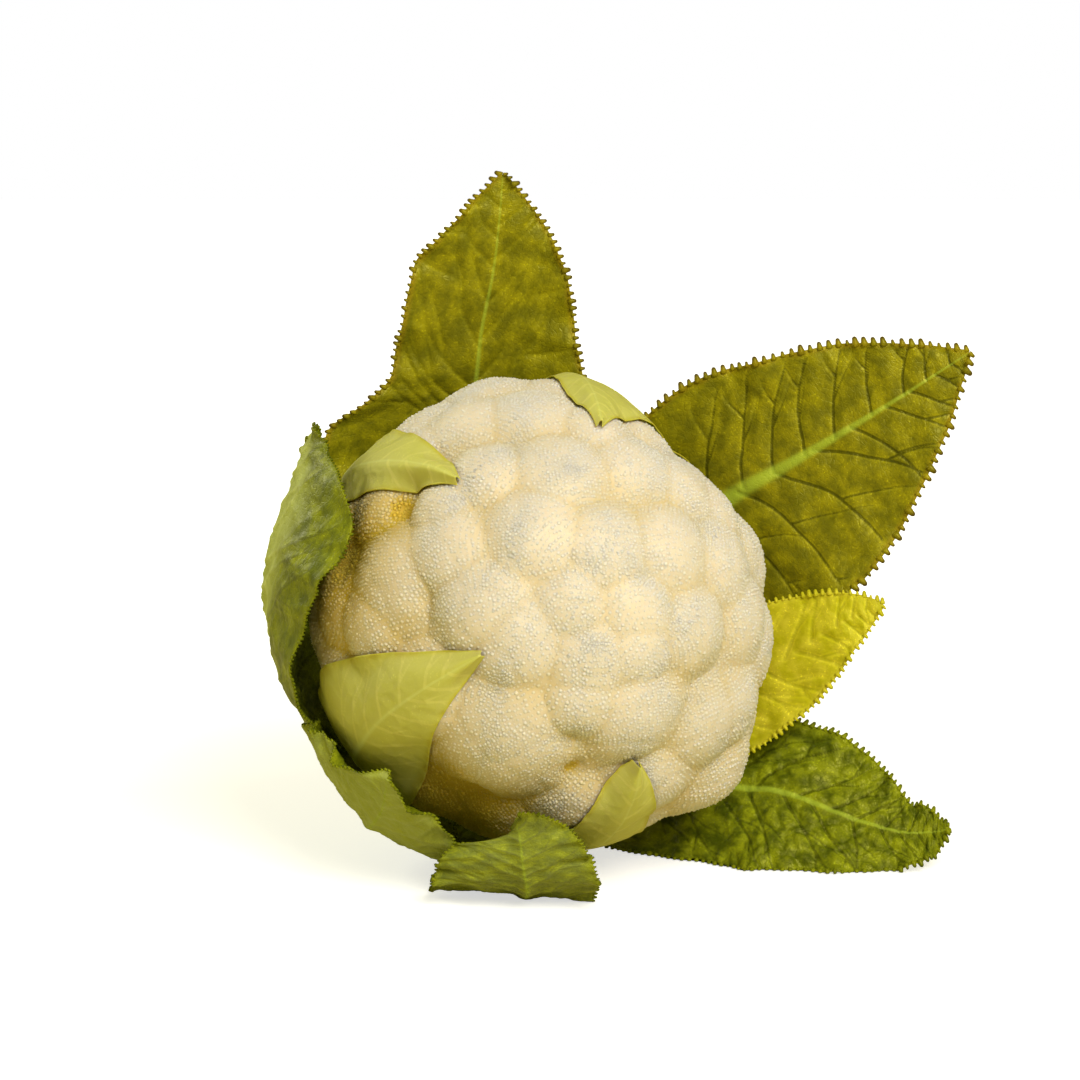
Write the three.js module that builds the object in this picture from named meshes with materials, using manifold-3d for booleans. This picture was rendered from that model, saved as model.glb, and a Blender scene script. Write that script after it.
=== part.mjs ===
// A cauliflower lying on its side: a round curd of tight florets on a cut stalk, four inner
// leaves pressed against the curd and seven outer leaves spread round it.
//
// Millimetres, +Z up, the curd facing -Y, the lowest leaves resting on z = 0. The leaves and
// the curd are described from the middle of the head, which stands HEAD_HEIGHT above the rest.

import * as THREE from 'three';
import { mergeVertices } from 'three/addons/utils/BufferGeometryUtils.js';
import Module from 'manifold-3d';

const wasm = await Module();
wasm.setup();

// ---- driving dimensions ---------------------------------------------------------------------

const HEAD_RADIUS = 71.6;          // curd, middle of the head to the crown of a floret
const HEAD_HEIGHT = 81;            // middle of the head above the surface it rests on
const HEAD_TURN = 14;              // degrees the curd is turned towards +X
const HEAD_TILT = 14;              // degrees the curd is tipped up
const CREASE_DEPTH = 6.0;          // crown of a floret down to the bottom of a crease
const CREASE_SOFTNESS = 0.9;       // how far the florets melt into each other
const FLORET_FLATNESS = 1.7;       // radius of a floret's dome over its half-width
const UNDERSIDE_RADIUS = 46;       // curd, middle of the head back to the stalk
const CURD_DETAIL = 12;

const STALK_RADIUS = 17;
const STALK_LENGTH = 50;
const STALK_GAP = 0.4;

const LEAF_THICKNESS = 1.3;
const RIB_WIDTH = 4.2;
const LEAF_ROWS = 15;
const LEAF_COLUMNS = 9;
const LEAF_GAP = 0.35;
const HUG_RADIUS = HEAD_RADIUS + 2.8;

// ---- directions of the head -----------------------------------------------------------------

const turn = THREE.MathUtils.degToRad(HEAD_TURN);
const tilt = THREE.MathUtils.degToRad(HEAD_TILT);
const FACING = new THREE.Vector3(
  Math.sin(turn) * Math.cos(tilt), -Math.cos(turn) * Math.cos(tilt), Math.sin(tilt));
const ACROSS = new THREE.Vector3(Math.cos(turn), Math.sin(turn), 0);
const UPWARD = new THREE.Vector3().crossVectors(ACROSS, FACING).negate();
const CENTRE = new THREE.Vector3(0, 0, 0);
const VIEWER = new THREE.Vector3(30, -400, 120);

// A point on the head: degrees away from the crown, degrees round it, and distance out.
function onHead(away, round, distance) {
  const a = THREE.MathUtils.degToRad(away);
  const r = THREE.MathUtils.degToRad(round);
  return FACING.clone().multiplyScalar(Math.cos(a))
    .addScaledVector(ACROSS, Math.sin(a) * Math.cos(r))
    .addScaledVector(UPWARD, Math.sin(a) * Math.sin(r))
    .multiplyScalar(distance);
}

// ---- the curd -------------------------------------------------------------------------------

// Each floret: degrees away from the crown, degrees round it, half-width in millimetres.
const FLORETS = [
  [7, -157, 9], [12, 71, 12], [12, -24, 10], [17, -95, 11], [19, -54, 9], [21, 132, 14],
  [23, -151, 13], [25, 27, 12], [28, -176, 14], [29, -97, 9], [30, -20, 11], [34, 98, 13],
  [35, -69, 14], [40, 63, 12], [40, 158, 12], [43, 126, 10], [44, 12, 13], [45, 43, 11],
  [46, 145, 8], [47, -121, 20], [51, 79, 10], [53, -150, 13], [54, 30, 12], [54, -8, 13],
  [54, -46, 12], [56, 171, 15], [59, 97, 14], [61, -32, 11], [62, -69, 14], [64, -177, 11],
  [66, 60, 14], [66, -90, 12], [66, 116, 13], [68, 14, 15], [68, 150, 10], [69, 132, 10],
  [71, -12, 14], [74, 40, 16], [76, 82, 16], [79, 176, 14], [80, -49, 14], [82, 102, 15],
  [82, -100, 15], [84, 124, 15], [84, -74, 14], [84, 148, 15], [87, -162, 15],
];
const RIM_FLORETS = 14;            // more florets round the rim, where the leaves hide them
const RIM_AWAY = 97;
const RIM_SIZE = 18;

// Where the head is out of round: degrees away, degrees round it, height and half-width.
const SWELLINGS = [[84, -45, 9.5, 26], [76, 47, -7, 26], [87, 103, 2.5, 26]];

const rimFlorets = Array.from(
  { length: RIM_FLORETS }, (_, i) => [RIM_AWAY, (360 * i) / RIM_FLORETS, RIM_SIZE]);

const floretBalls = [...FLORETS, ...rimFlorets].map(([away, round, size]) => {
  const swell = size * FLORET_FLATNESS;
  const middle = onHead(away, round, HEAD_RADIUS - swell);
  return { middle, swell };
});

// How far the plain head reaches, without its florets, at an angle away from the crown.
function coreRadius(away) {
  const floor = HEAD_RADIUS - CREASE_DEPTH;
  const back = THREE.MathUtils.smoothstep(away, 84, 150);
  return THREE.MathUtils.lerp(floor, UNDERSIDE_RADIUS, back);
}

const swellings = SWELLINGS.map(([away, round, height, width]) => (
  { crown: onHead(away, round, 1), height, width }));

// How far the head bulges out along a direction.
function swelling(direction) {
  let total = 0;
  for (const { crown, height, width } of swellings) {
    const off = Math.acos(Math.min(1, direction.dot(crown))) * HEAD_RADIUS;
    total += height * Math.exp(-((off / width) ** 2));
  }
  return total;
}

// Distance from the middle of the head to the curd's skin along a direction.
function curdRadius(direction) {
  const away = THREE.MathUtils.radToDeg(Math.acos(direction.dot(FACING)));
  const core = coreRadius(away);
  let sum = Math.exp(core / CREASE_SOFTNESS - HEAD_RADIUS / CREASE_SOFTNESS);
  for (const { middle, swell } of floretBalls) {
    const along = direction.dot(middle);
    const inside = along * along - middle.lengthSq() + swell * swell;
    if (along <= 0 || inside <= 0) continue;
    const reach = along + Math.sqrt(inside);
    sum += Math.exp((reach - HEAD_RADIUS) / CREASE_SOFTNESS);
  }
  return HEAD_RADIUS + CREASE_SOFTNESS * Math.log(sum) + swelling(direction);
}

function curdGeometry(extra = 0, detail = CURD_DETAIL) {
  const ball = new THREE.IcosahedronGeometry(1, detail);
  ball.deleteAttribute('uv');
  ball.deleteAttribute('normal');
  const geometry = mergeVertices(ball, 1e-5);
  const position = geometry.attributes.position;
  const direction = new THREE.Vector3();
  for (let i = 0; i < position.count; i += 1) {
    direction.fromBufferAttribute(position, i).normalize();
    const reach = curdRadius(direction) + extra;
    position.setXYZ(i, direction.x * reach, direction.y * reach, direction.z * reach);
  }
  return geometry;
}

// ---- manifold helpers -----------------------------------------------------------------------

function toSolid(geometry) {
  const bare = geometry.clone();
  bare.deleteAttribute('normal');
  bare.deleteAttribute('uv');
  const welded = mergeVertices(bare, 1e-4);
  return new wasm.Manifold(new wasm.Mesh({
    numProp: 3,
    vertProperties: new Float32Array(welded.attributes.position.array),
    triVerts: new Uint32Array(welded.index.array),
  }));
}

function toGeometry(solid) {
  const mesh = solid.getMesh();
  const geometry = new THREE.BufferGeometry();
  geometry.setAttribute('position', new THREE.BufferAttribute(mesh.vertProperties, 3));
  geometry.setIndex(new THREE.BufferAttribute(mesh.triVerts, 1));
  geometry.computeVertexNormals();
  return geometry;
}

// Everything below the surface the head rests on, as a block to cut away.
function blockBelowTheRest() {
  const block = new THREE.BoxGeometry(600, 600, 60);
  block.translate(0, 0, -HEAD_HEIGHT - 30);
  return toSolid(block);
}

// ---- the stalk ------------------------------------------------------------------------------

function stalkGeometry(extra = 0) {
  const start = UNDERSIDE_RADIUS + STALK_GAP - extra;
  const profile = [
    [0, start], [STALK_RADIUS - 1 + extra, start], [STALK_RADIUS + extra, start + 6],
    [STALK_RADIUS + 0.6 + extra, start + 20], [STALK_RADIUS - 0.6 + extra, start + 34],
    [STALK_RADIUS - 1 + extra, start + STALK_LENGTH - 1.2],
    [STALK_RADIUS - 2.2 + extra, start + STALK_LENGTH + extra], [0, start + STALK_LENGTH + extra],
  ];
  const points = profile.map(([radius, height]) => new THREE.Vector2(radius, height));
  const lathe = new THREE.LatheGeometry(points, 28);
  const backward = FACING.clone().negate();
  const upright = new THREE.Vector3(0, 1, 0);
  lathe.applyQuaternion(new THREE.Quaternion().setFromUnitVectors(upright, backward));
  return lathe;
}

// ---- leaves ---------------------------------------------------------------------------------

// The middle line of every leaf, base to tip. A spread leaf gives x, y, z from the middle of the
// head; a pressed leaf gives degrees away from the crown, degrees round it and distance out.
// Then come the half-widths left and right of the midrib, seen from the upper face, and how
// sharply the blade is cupped, as one over its radius.
const LEAVES = {
  top_leaf: {
    faces: VIEWER,
    rows: [
      [-17, 66, 6, 6, 6, 0.03], [-20, 64, 24, 16, 17, 0.012], [-22, 56, 42, 44, 28, 0.012],
      [-22, 48, 57, 49, 35, 0.009], [-21, 43, 66, 29, 36, 0.008], [-19, 39, 84, 26, 31, 0.007],
      [-15, 35, 104, 24, 24, 0.007], [-13, 32, 121, 12, 13, 0.006], [-12, 33, 134, 1, 1, 0],
    ],
  },
  right_leaf: {
    faces: VIEWER,
    rows: [
      [5, 71, -12, 6, 6, 0.03], [28, 64, 2, 18, 18, 0.014], [48, 50, 20, 34, 30, 0.008],
      [64, 38, 33, 38, 42, 0.006], [80, 32, 43, 35, 45, 0.006], [97, 27, 54, 29, 35, 0.006],
      [112, 23, 64, 21, 23, 0.006], [125, 20, 73, 10, 10, 0.004], [134, 19, 79, 1, 1, 0],
    ],
  },
  right_inner_leaf: {
    faces: VIEWER,
    rows: [
      [4, 62, -26, 5, 5, 0.03], [24, 54, -38, 12, 12, 0.02], [44, 42, -38, 18, 18, 0.012],
      [60, 30, -30, 23, 22, 0.01], [75, 20, -20, 21, 18, 0.01], [90, 12, -8, 13, 12, 0.008],
      [100, 9, -2, 7, 6, 0.006], [107, 8, 1, 1, 1, 0],
    ],
  },
  lower_right_leaf: {
    faces: new THREE.Vector3(80, -300, 160),
    rows: [
      [-3, 67, -36, 6, 6, 0.03], [16, 57, -54, 18, 18, 0.014], [36, 40, -62, 25, 27, 0.006],
      [56, 26, -61, 27, 31, 0.003], [76, 14, -60, 25, 31, 0.002], [96, 6, -66, 22, 22, 0.004],
      [112, 2, -70, 12, 14, 0.006], [122, 1, -70, 8, 8, 0.006], [128, 0, -69, 1, 1, 0],
    ],
  },
  lower_left_leaf: {
    faces: CENTRE,
    rows: [
      [-32, 64, -30, 6, 6, 0.03], [-45, 50, -46, 15, 13, 0.016], [-51, 27, -59, 24, 18, 0.0155],
      [-53, 0, -65, 32, 34, 0.018], [-51, -25, -61, 34, 36, 0.019],
      [-47, -43, -52, 23, 26, 0.016], [-45, -55, -41, 1, 1, 0],
    ],
  },
  left_leaf: {
    faces: CENTRE,
    rows: [
      [-38, 62, -12, 6, 6, 0.03], [-58, 50, -13, 22, 12, 0.016], [-75, 31, -10, 41, 22, 0.014],
      [-83, 13, -4, 44, 28, 0.016], [-84, 1, 9, 37, 30, 0.018], [-81, -4, 25, 42, 26, 0.02],
      [-76, -5, 40, 42, 16, 0.022], [-72, -3, 51, 18, 7, 0.02], [-69, 0, 58, 1, 1, 0],
    ],
  },
  bottom_leaf: {
    faces: CENTRE,
    rows: [
      [-18, 60, -37, 6, 6, 0.03], [-15, 46, -64, 15, 18, 0.012], [-9, 20, -78.6, 20, 23, 0.002],
      [-6, -10, -80, 21, 25, 0.001], [-5, -37, -79.4, 20, 28, 0.001],
      [-4, -53, -74, 21, 28, 0.004], [-5, -60, -66, 20, 26, 0.007], [-6, -61, -57, 15, 19, 0.009],
      [-7, -58, -52, 1, 1, 0],
    ],
  },
  upper_left_bract: {
    pressed: true,
    rows: [
      [159, 140, 57.5, 5, 5], [140, 141, 60, 8, 8], [122, 142, 66, 11, 12],
      [103, 143, 73, 13, 16], [84, 142, HUG_RADIUS, 12, 18], [67, 139, HUG_RADIUS, 9, 13],
      [53, 136, HUG_RADIUS, 5, 7], [44, 135, HUG_RADIUS, 1, 1],
    ],
  },
  upper_right_bract: {
    pressed: true,
    rows: [
      [159, 84, 57.5, 5, 5], [140, 82, 60, 8, 8], [122, 80, 66, 9, 13], [102, 80, 73, 10, 22],
      [88, 80, HUG_RADIUS, 9, 36], [76, 80, HUG_RADIUS, 8, 47], [65, 80, HUG_RADIUS, 7, 26],
      [55, 80, HUG_RADIUS, 4, 10], [46, 80, HUG_RADIUS, 1, 1],
    ],
  },
  lower_left_bract: {
    pressed: true,
    rows: [
      [159, -142, 57.5, 5, 5], [140, -142, 60, 9, 9], [122, -142, 66, 15, 15],
      [102, -143, 73, 21, 22], [82, -147, HUG_RADIUS, 22, 28], [64, -151, HUG_RADIUS, 17, 21],
      [47, -153, HUG_RADIUS, 9, 11], [31, -154, HUG_RADIUS, 1, 1],
    ],
  },
  bottom_bract: {
    pressed: true,
    rows: [
      [159, -88, 57.5, 5, 5], [140, -87, 60, 8, 8], [122, -86, 66, 11, 11],
      [104, -84, 73, 14, 14], [86, -82, HUG_RADIUS, 15, 15], [68, -79, HUG_RADIUS, 13, 13],
      [55, -76, HUG_RADIUS, 7, 8], [46, -74, HUG_RADIUS, 1, 1],
    ],
  },
};

// Value of one column of the rows at a place along the leaf, on a smooth curve through them.
function along(values, place) {
  const last = values.length - 1;
  const scaled = place * last;
  const index = Math.min(Math.floor(scaled), last - 1);
  const t = scaled - index;
  const b = values[index];
  const c = values[index + 1];
  const a = index > 0 ? values[index - 1] : 2 * b - c;
  const d = index + 2 <= last ? values[index + 2] : 2 * c - b;
  const bend = 2 * a - 5 * b + 4 * c - d + t * (3 * b - a - 3 * c + d);
  return b + 0.5 * t * (c - a + t * bend);
}

function spinePoints(leaf) {
  return leaf.rows.map((row) => (
    leaf.pressed ? onHead(row[0], row[1], row[2]) : new THREE.Vector3(row[0], row[1], row[2])));
}

function spineAt(points, place) {
  return new THREE.Vector3(
    along(points.map((p) => p.x), place),
    along(points.map((p) => p.y), place),
    along(points.map((p) => p.z), place));
}

// The midrib's point, direction, upper face and side at a place along the leaf.
function spineFrame(leaf, points, place) {
  const step = 0.004;
  const point = spineAt(points, place);
  const before = spineAt(points, Math.max(0, place - step));
  const after = spineAt(points, Math.min(1, place + step));
  const forward = after.sub(before).normalize();
  const target = leaf.pressed ? CENTRE : leaf.faces;
  const face = target.clone().sub(point);
  face.addScaledVector(forward, -face.dot(forward)).normalize();
  const side = new THREE.Vector3().crossVectors(forward, face).normalize();
  return { point, forward, face, side };
}

// A point on the blade: place along it, -1 left margin to 1 right margin.
function bladePoint(leaf, points, place, across, extra = 0) {
  const frame = spineFrame(leaf, points, place);
  const left = Math.max(0.8, along(leaf.rows.map((row) => row[3]), place)) + extra;
  const right = Math.max(0.8, along(leaf.rows.map((row) => row[4]), place)) + extra;
  const reach = across * (across < 0 ? left : right);
  const cup = leaf.pressed
    ? 1 / frame.point.length() : along(leaf.rows.map((row) => row[5]), place);
  const angle = reach * cup;
  const sideways = Math.abs(cup) < 1e-5 ? reach : Math.sin(angle) / cup;
  const rise = Math.abs(cup) < 1e-5 ? 0 : (1 - Math.cos(angle)) / cup;
  const point = frame.point.clone()
    .addScaledVector(frame.side, sideways)
    .addScaledVector(frame.face, rise);
  if (leaf.pressed) {
    const outwards = point.clone().normalize();
    point.addScaledVector(outwards, swelling(outwards));
  }
  const normal = frame.face.clone().multiplyScalar(Math.cos(angle))
    .addScaledVector(frame.side, -Math.sin(angle));
  return { point, normal, reach };
}

// How thick the leaf is: a thin blade, with the midrib swelling under it towards the base.
function leafThickness(place, reach) {
  const rib = THREE.MathUtils.lerp(5.2, 0.3, Math.min(1, place * 1.25) ** 0.7);
  return LEAF_THICKNESS + rib * Math.exp(-((reach / RIB_WIDTH) ** 2));
}

function leafGeometry(leaf, extra = 0) {
  const points = spinePoints(leaf);
  const vertices = [];
  const upper = [];
  const under = [];
  for (let i = 0; i < LEAF_ROWS; i += 1) {
    const place = i / (LEAF_ROWS - 1);
    upper.push([]);
    under.push([]);
    for (let j = 0; j < LEAF_COLUMNS; j += 1) {
      const spread = (2 * j) / (LEAF_COLUMNS - 1) - 1;
      const across = Math.sign(spread) * Math.abs(spread) ** 1.25;
      const { point, normal, reach } = bladePoint(leaf, points, place, across, extra);
      const top = point.clone().addScaledVector(normal, LEAF_THICKNESS / 2 + extra);
      const low = point.clone().addScaledVector(
        normal, LEAF_THICKNESS / 2 - leafThickness(place, reach) - extra);
      upper[i].push(vertices.push(top) - 1);
      under[i].push(vertices.push(low) - 1);
    }
  }
  return shellGeometry(vertices, upper, under);
}

// Two matching grids joined round their edge into one closed skin.
function shellGeometry(vertices, upper, under) {
  const rows = upper.length;
  const columns = upper[0].length;
  const index = [];
  const quad = (a, b, c, d) => index.push(a, b, c, a, c, d);
  for (let i = 0; i + 1 < rows; i += 1) {
    for (let j = 0; j + 1 < columns; j += 1) {
      quad(upper[i][j], upper[i][j + 1], upper[i + 1][j + 1], upper[i + 1][j]);
      quad(under[i][j], under[i + 1][j], under[i + 1][j + 1], under[i][j + 1]);
    }
    const end = columns - 1;
    quad(upper[i][0], upper[i + 1][0], under[i + 1][0], under[i][0]);
    quad(upper[i][end], under[i][end], under[i + 1][end], upper[i + 1][end]);
  }
  for (let j = 0; j + 1 < columns; j += 1) {
    const end = rows - 1;
    quad(upper[0][j], under[0][j], under[0][j + 1], upper[0][j + 1]);
    quad(upper[end][j], upper[end][j + 1], under[end][j + 1], under[end][j]);
  }
  const geometry = new THREE.BufferGeometry();
  geometry.setFromPoints(vertices);
  geometry.setIndex(index);
  return geometry;
}

// ---- materials ------------------------------------------------------------------------------

function leafMaterial(colour, roughness = 0.55) {
  return new THREE.MeshStandardMaterial({ color: colour, roughness, metalness: 0 });
}

const MATERIALS = {
  curd: new THREE.MeshStandardMaterial({ color: 0xe4d2b0, roughness: 0.6, metalness: 0 }),
  stalk: new THREE.MeshStandardMaterial({ color: 0xc5c98c, roughness: 0.6, metalness: 0 }),
  top_leaf: leafMaterial(0x7b7304),
  right_leaf: leafMaterial(0x857b05),
  right_inner_leaf: leafMaterial(0xb5ae26),
  lower_right_leaf: leafMaterial(0x6e6a06),
  left_leaf: leafMaterial(0x98983e),
  lower_left_leaf: leafMaterial(0x676920),
  bottom_leaf: leafMaterial(0x7c8007),
  upper_left_bract: leafMaterial(0xc4c153),
  upper_right_bract: leafMaterial(0xbfb86a),
  lower_left_bract: leafMaterial(0xb6ae3f),
  bottom_bract: leafMaterial(0xc1bb5a),
};

// ---- assembly -------------------------------------------------------------------------------

const group = new THREE.Group();
group.name = 'cauliflower';
const head = new THREE.Group();
head.name = 'head';
head.position.z = HEAD_HEIGHT;
group.add(head);

function addPiece(name, solid) {
  const mesh = new THREE.Mesh(toGeometry(solid), MATERIALS[name]);
  mesh.name = name;
  head.add(mesh);
}

const belowTheRest = blockBelowTheRest();
const curd = toSolid(curdGeometry()).subtract(toSolid(stalkGeometry(STALK_GAP)));
addPiece('curd', curd);
addPiece('stalk', toSolid(stalkGeometry()));

// Each leaf is cut clear of the stalk, the curd and the leaves that lie inside it.
const INSIDE_OUT = [
  'lower_left_bract', 'upper_left_bract', 'upper_right_bract', 'bottom_bract',
  'right_inner_leaf', 'right_leaf', 'top_leaf', 'lower_right_leaf', 'lower_left_leaf',
  'left_leaf', 'bottom_leaf',
];
const cleared = [toSolid(stalkGeometry(LEAF_GAP)), toSolid(curdGeometry(LEAF_GAP))];
for (const name of INSIDE_OUT) {
  let solid = toSolid(leafGeometry(LEAVES[name])).subtract(belowTheRest);
  for (const other of cleared) solid = solid.subtract(other);
  addPiece(name, solid);
  cleared.push(toSolid(leafGeometry(LEAVES[name], LEAF_GAP)));
}

export default group;
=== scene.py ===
"""A cauliflower lying on its side: a curd built floret by floret and covered with small buds,
pale inner leaves pressed to it, broad toothed outer leaves round it, and its cut stalk behind.

Lengths inside the shape functions are millimetres from the middle of the head; the meshes are
written in metres. Each leaf follows rows of numbers, base to tip.
"""

import math

import bmesh
import bpy
import numpy as np
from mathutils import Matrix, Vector


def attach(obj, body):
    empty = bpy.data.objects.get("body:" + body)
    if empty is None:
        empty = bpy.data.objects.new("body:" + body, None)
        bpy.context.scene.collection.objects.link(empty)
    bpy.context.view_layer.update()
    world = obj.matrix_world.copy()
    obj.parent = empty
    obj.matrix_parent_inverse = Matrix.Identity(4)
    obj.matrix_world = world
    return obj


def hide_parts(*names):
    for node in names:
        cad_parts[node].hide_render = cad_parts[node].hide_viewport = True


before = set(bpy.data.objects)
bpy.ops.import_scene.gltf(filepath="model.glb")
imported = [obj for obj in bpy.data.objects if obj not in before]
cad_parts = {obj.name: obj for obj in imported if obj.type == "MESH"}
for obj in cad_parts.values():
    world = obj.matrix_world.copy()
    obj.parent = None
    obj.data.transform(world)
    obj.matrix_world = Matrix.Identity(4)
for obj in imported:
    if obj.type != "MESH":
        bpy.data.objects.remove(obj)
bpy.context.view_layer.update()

bl_info = {
    "name": "Cauliflower",
    "version": (1, 0, 0),
    "blender": (4, 5, 0),
    "location": "View3D > Sidebar > Cauliflower",
    "description": "Builds a cauliflower with its curd, leaves and stalk, and a plain studio",
    "category": "Add Mesh",
}

MM = 0.001

# ---- driving dimensions, in millimetres and degrees --------------------------------------------

HEAD_TURN = 14.0
HEAD_TILT = 14.0
HEAD_RADIUS = 71.6
HEAD_HEIGHT = 81.0
UNDERSIDE_RADIUS = 46.0
CREASE_DEPTH = 6.0
CREASE_SOFTNESS = 0.85
FLORET_FLATNESS = 1.7
STALK_RADIUS = 17.0
STALK_LENGTH = 50.0
HUG = HEAD_RADIUS + 2.4
LOBE_HEIGHT = 0.3
BUD_SINK = 0.63
PRESSED_CLEARANCE = 0.8
TEETH_START = 0.16
LOOK_SIDEWAYS, LOOK_UP = -0.3, 22.3
FLOOR_HALF_WIDTH = 6.0
FLOOR_DROP = 0.0003
GOLDEN_ANGLE = math.pi * (3.0 - math.sqrt(5.0))


def unit(vectors):
    """Vectors scaled to length one, along their last axis."""
    return vectors / np.linalg.norm(vectors, axis=-1, keepdims=True)


TURN, TILT = math.radians(HEAD_TURN), math.radians(HEAD_TILT)
FACING = np.array([
    math.sin(TURN) * math.cos(TILT), -math.cos(TURN) * math.cos(TILT), math.sin(TILT)])
ACROSS = np.array([math.cos(TURN), math.sin(TURN), 0.0])
UPWARD = np.cross(FACING, ACROSS)


def on_head(away, around, distance):
    """Points given by degrees away from the crown, degrees round it, and distance out."""
    a, r = np.radians(away), np.radians(around)
    direction = (
        np.multiply.outer(np.cos(a), FACING)
        + np.multiply.outer(np.sin(a) * np.cos(r), ACROSS)
        + np.multiply.outer(np.sin(a) * np.sin(r), UPWARD))
    return direction * np.asarray(distance, float)[..., None]


def smoothstep(value, low, high):
    """0 below low, 1 above high, and a smooth rise between them."""
    t = np.clip((value - low) / (high - low), 0.0, 1.0)
    return t * t * (3.0 - 2.0 * t)


def ripples(x, y, size, seed):
    """A smooth uneven field from -1 to 1, its lumps about size across."""
    chance = np.random.default_rng(seed)
    total = np.zeros_like(x, dtype=float)
    for _ in range(7):
        heading = chance.uniform(0.0, math.tau)
        pitch = size * chance.uniform(0.7, 1.5)
        shift = chance.uniform(0.0, math.tau)
        total += np.sin((x * math.cos(heading) + y * math.sin(heading)) * math.tau / pitch + shift)
    return total / 3.2


def cell_gaps(x, y, size, seed):
    """Distance to the border between uneven cells about size across; 0 on the border."""
    chance = np.random.default_rng(seed).random((64, 64, 2))
    u, v = x / size, y / size
    column, row = np.floor(u).astype(int), np.floor(v).astype(int)
    nearest = np.full(u.shape, 9.0)
    second = np.full(u.shape, 9.0)
    for i in (-1, 0, 1):
        for j in (-1, 0, 1):
            shift = chance[(column + i) % 64, (row + j) % 64]
            off = np.hypot(u - column - i - shift[..., 0], v - row - j - shift[..., 1])
            second = np.minimum(second, np.maximum(nearest, off))
            nearest = np.minimum(nearest, off)
    return (second - nearest) * size


# ---- settings ----------------------------------------------------------------------------------


def length(name, description, default_mm):
    """A length property with its default given in millimetres."""
    return bpy.props.FloatProperty(
        name=name, description=description, default=default_mm * MM, min=0.0, unit="LENGTH")


def colour(name, description, default):
    """A colour property."""
    return bpy.props.FloatVectorProperty(
        name=name, description=description, default=default, size=3, min=0.0, max=1.0,
        subtype="COLOR")


class CurdSettings(bpy.types.PropertyGroup):
    bud_pitch: length("Bud pitch", "Distance between neighbouring buds", 1.32)
    bud_radius: length("Bud radius", "Radius of one bud", 0.84)
    bud_spread: bpy.props.FloatProperty(
        name="Bud spread", description="How much the buds differ in size", default=0.14,
        min=0.0, max=0.5, subtype="FACTOR")
    lobe_height: length("Lobe height", "How far the small lobes on a floret swell",
                        LOBE_HEIGHT)
    cream: colour("Cream", "Colour of the buds on a crown", (0.80, 0.73, 0.655))
    # gold is the colour of the painted shade in creases and on shaded sides, and of random blotches
    gold_shade_and_blotch: colour("Gold", "Colour down in the creases", (0.60, 0.41, 0.05))
    branch: colour("Branch", "Colour of the branches under the curd", (0.60, 0.62, 0.33))


class LeafSettings(bpy.types.PropertyGroup):
    thickness: length("Thickness", "Thickness of the blade", 0.75)
    grid: length("Grid", "Distance between the points of a blade", 0.7)
    vein_spacing: length("Vein spacing", "Distance between side veins on the midrib", 13.0)
    pucker: length("Pucker", "How far the blade bulges between its veins", 0.8)
    tooth_pitch: length("Tooth pitch", "Distance between teeth on a margin", 3.0)
    tooth_length: length("Tooth length", "Length of one marginal tooth", 1.6)
    outer_deep: colour("Outer, deep", "Darker green of the outer leaves", (0.12, 0.115, 0.003))
    outer_bright: colour("Outer, bright", "Lighter green of the outer leaves", (0.25, 0.225, 0.004))
    green_deep: colour("Green leaf, dark", "Dark patches of the greener leaves",
                       (0.055, 0.075, 0.002))
    green_bright: colour("Green leaf, light", "Light patches of the greener leaves",
                         (0.22, 0.25, 0.006))
    yellow_deep: colour("Yellow, deep", "Darker tone of the yellow leaf", (0.40, 0.38, 0.006))
    yellow_bright: colour("Yellow, bright", "Lighter tone of the yellow leaf", (0.55, 0.50, 0.03))
    inner_deep: colour("Inner, deep", "Darker tone of the inner leaves", (0.38, 0.38, 0.012))
    inner_bright: colour("Inner, bright", "Lighter tone of the inner leaves", (0.53, 0.53, 0.13))
    inner_rib: colour("Inner leaf midrib", "Midrib of the pressed inner leaves",
                      (0.62, 0.66, 0.22))
    # also the colour of the painted shade near the bases of the inner leaves
    inner_margin_and_shade: colour("Inner, warm", "Margins of the inner leaves", (0.40, 0.33, 0.006))
    # the sage is partly the underside's own paler colour and partly painted sheen of glancing light
    sage: colour("Sage", "Pale underside of the outer leaves", (0.55, 0.62, 0.17))
    rib: colour("Rib", "Colour of the midribs", (0.33, 0.43, 0.035))
    margin: colour("Margin", "Tint along the outer margins", (0.30, 0.21, 0.008))
    tooth_tip: colour("Tooth tip", "Colour of the tips of the teeth", (0.055, 0.028, 0.004))


class StalkSettings(bpy.types.PropertyGroup):
    skin: colour("Skin", "Colour of the stalk's side", (0.50, 0.56, 0.24))
    cut: colour("Cut", "Colour of the cut face", (0.72, 0.68, 0.42))
    ring: colour("Ring", "Colour of the woody ring in the cut face", (0.42, 0.36, 0.14))


class StageSettings(bpy.types.PropertyGroup):
    elevation: bpy.props.FloatProperty(
        name="Camera elevation", description="Camera angle above level",
        default=math.radians(8.0), subtype="ANGLE")
    distance: length("Camera distance", "Camera to the point it looks at", 1000.0)
    lens: bpy.props.FloatProperty(
        name="Lens", description="Focal length of the camera, in millimetres", default=107.5)
    key_power: bpy.props.FloatProperty(
        name="Key light", description="Power of the large soft light", default=15.3,
        subtype="POWER")
    key_size: length("Key size", "Width of the large soft light", 560.0)
    sky: bpy.props.FloatProperty(
        name="Room light", description="Strength of the light from all round", default=0.3)


# ---- meshes ------------------------------------------------------------------------------------


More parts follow.
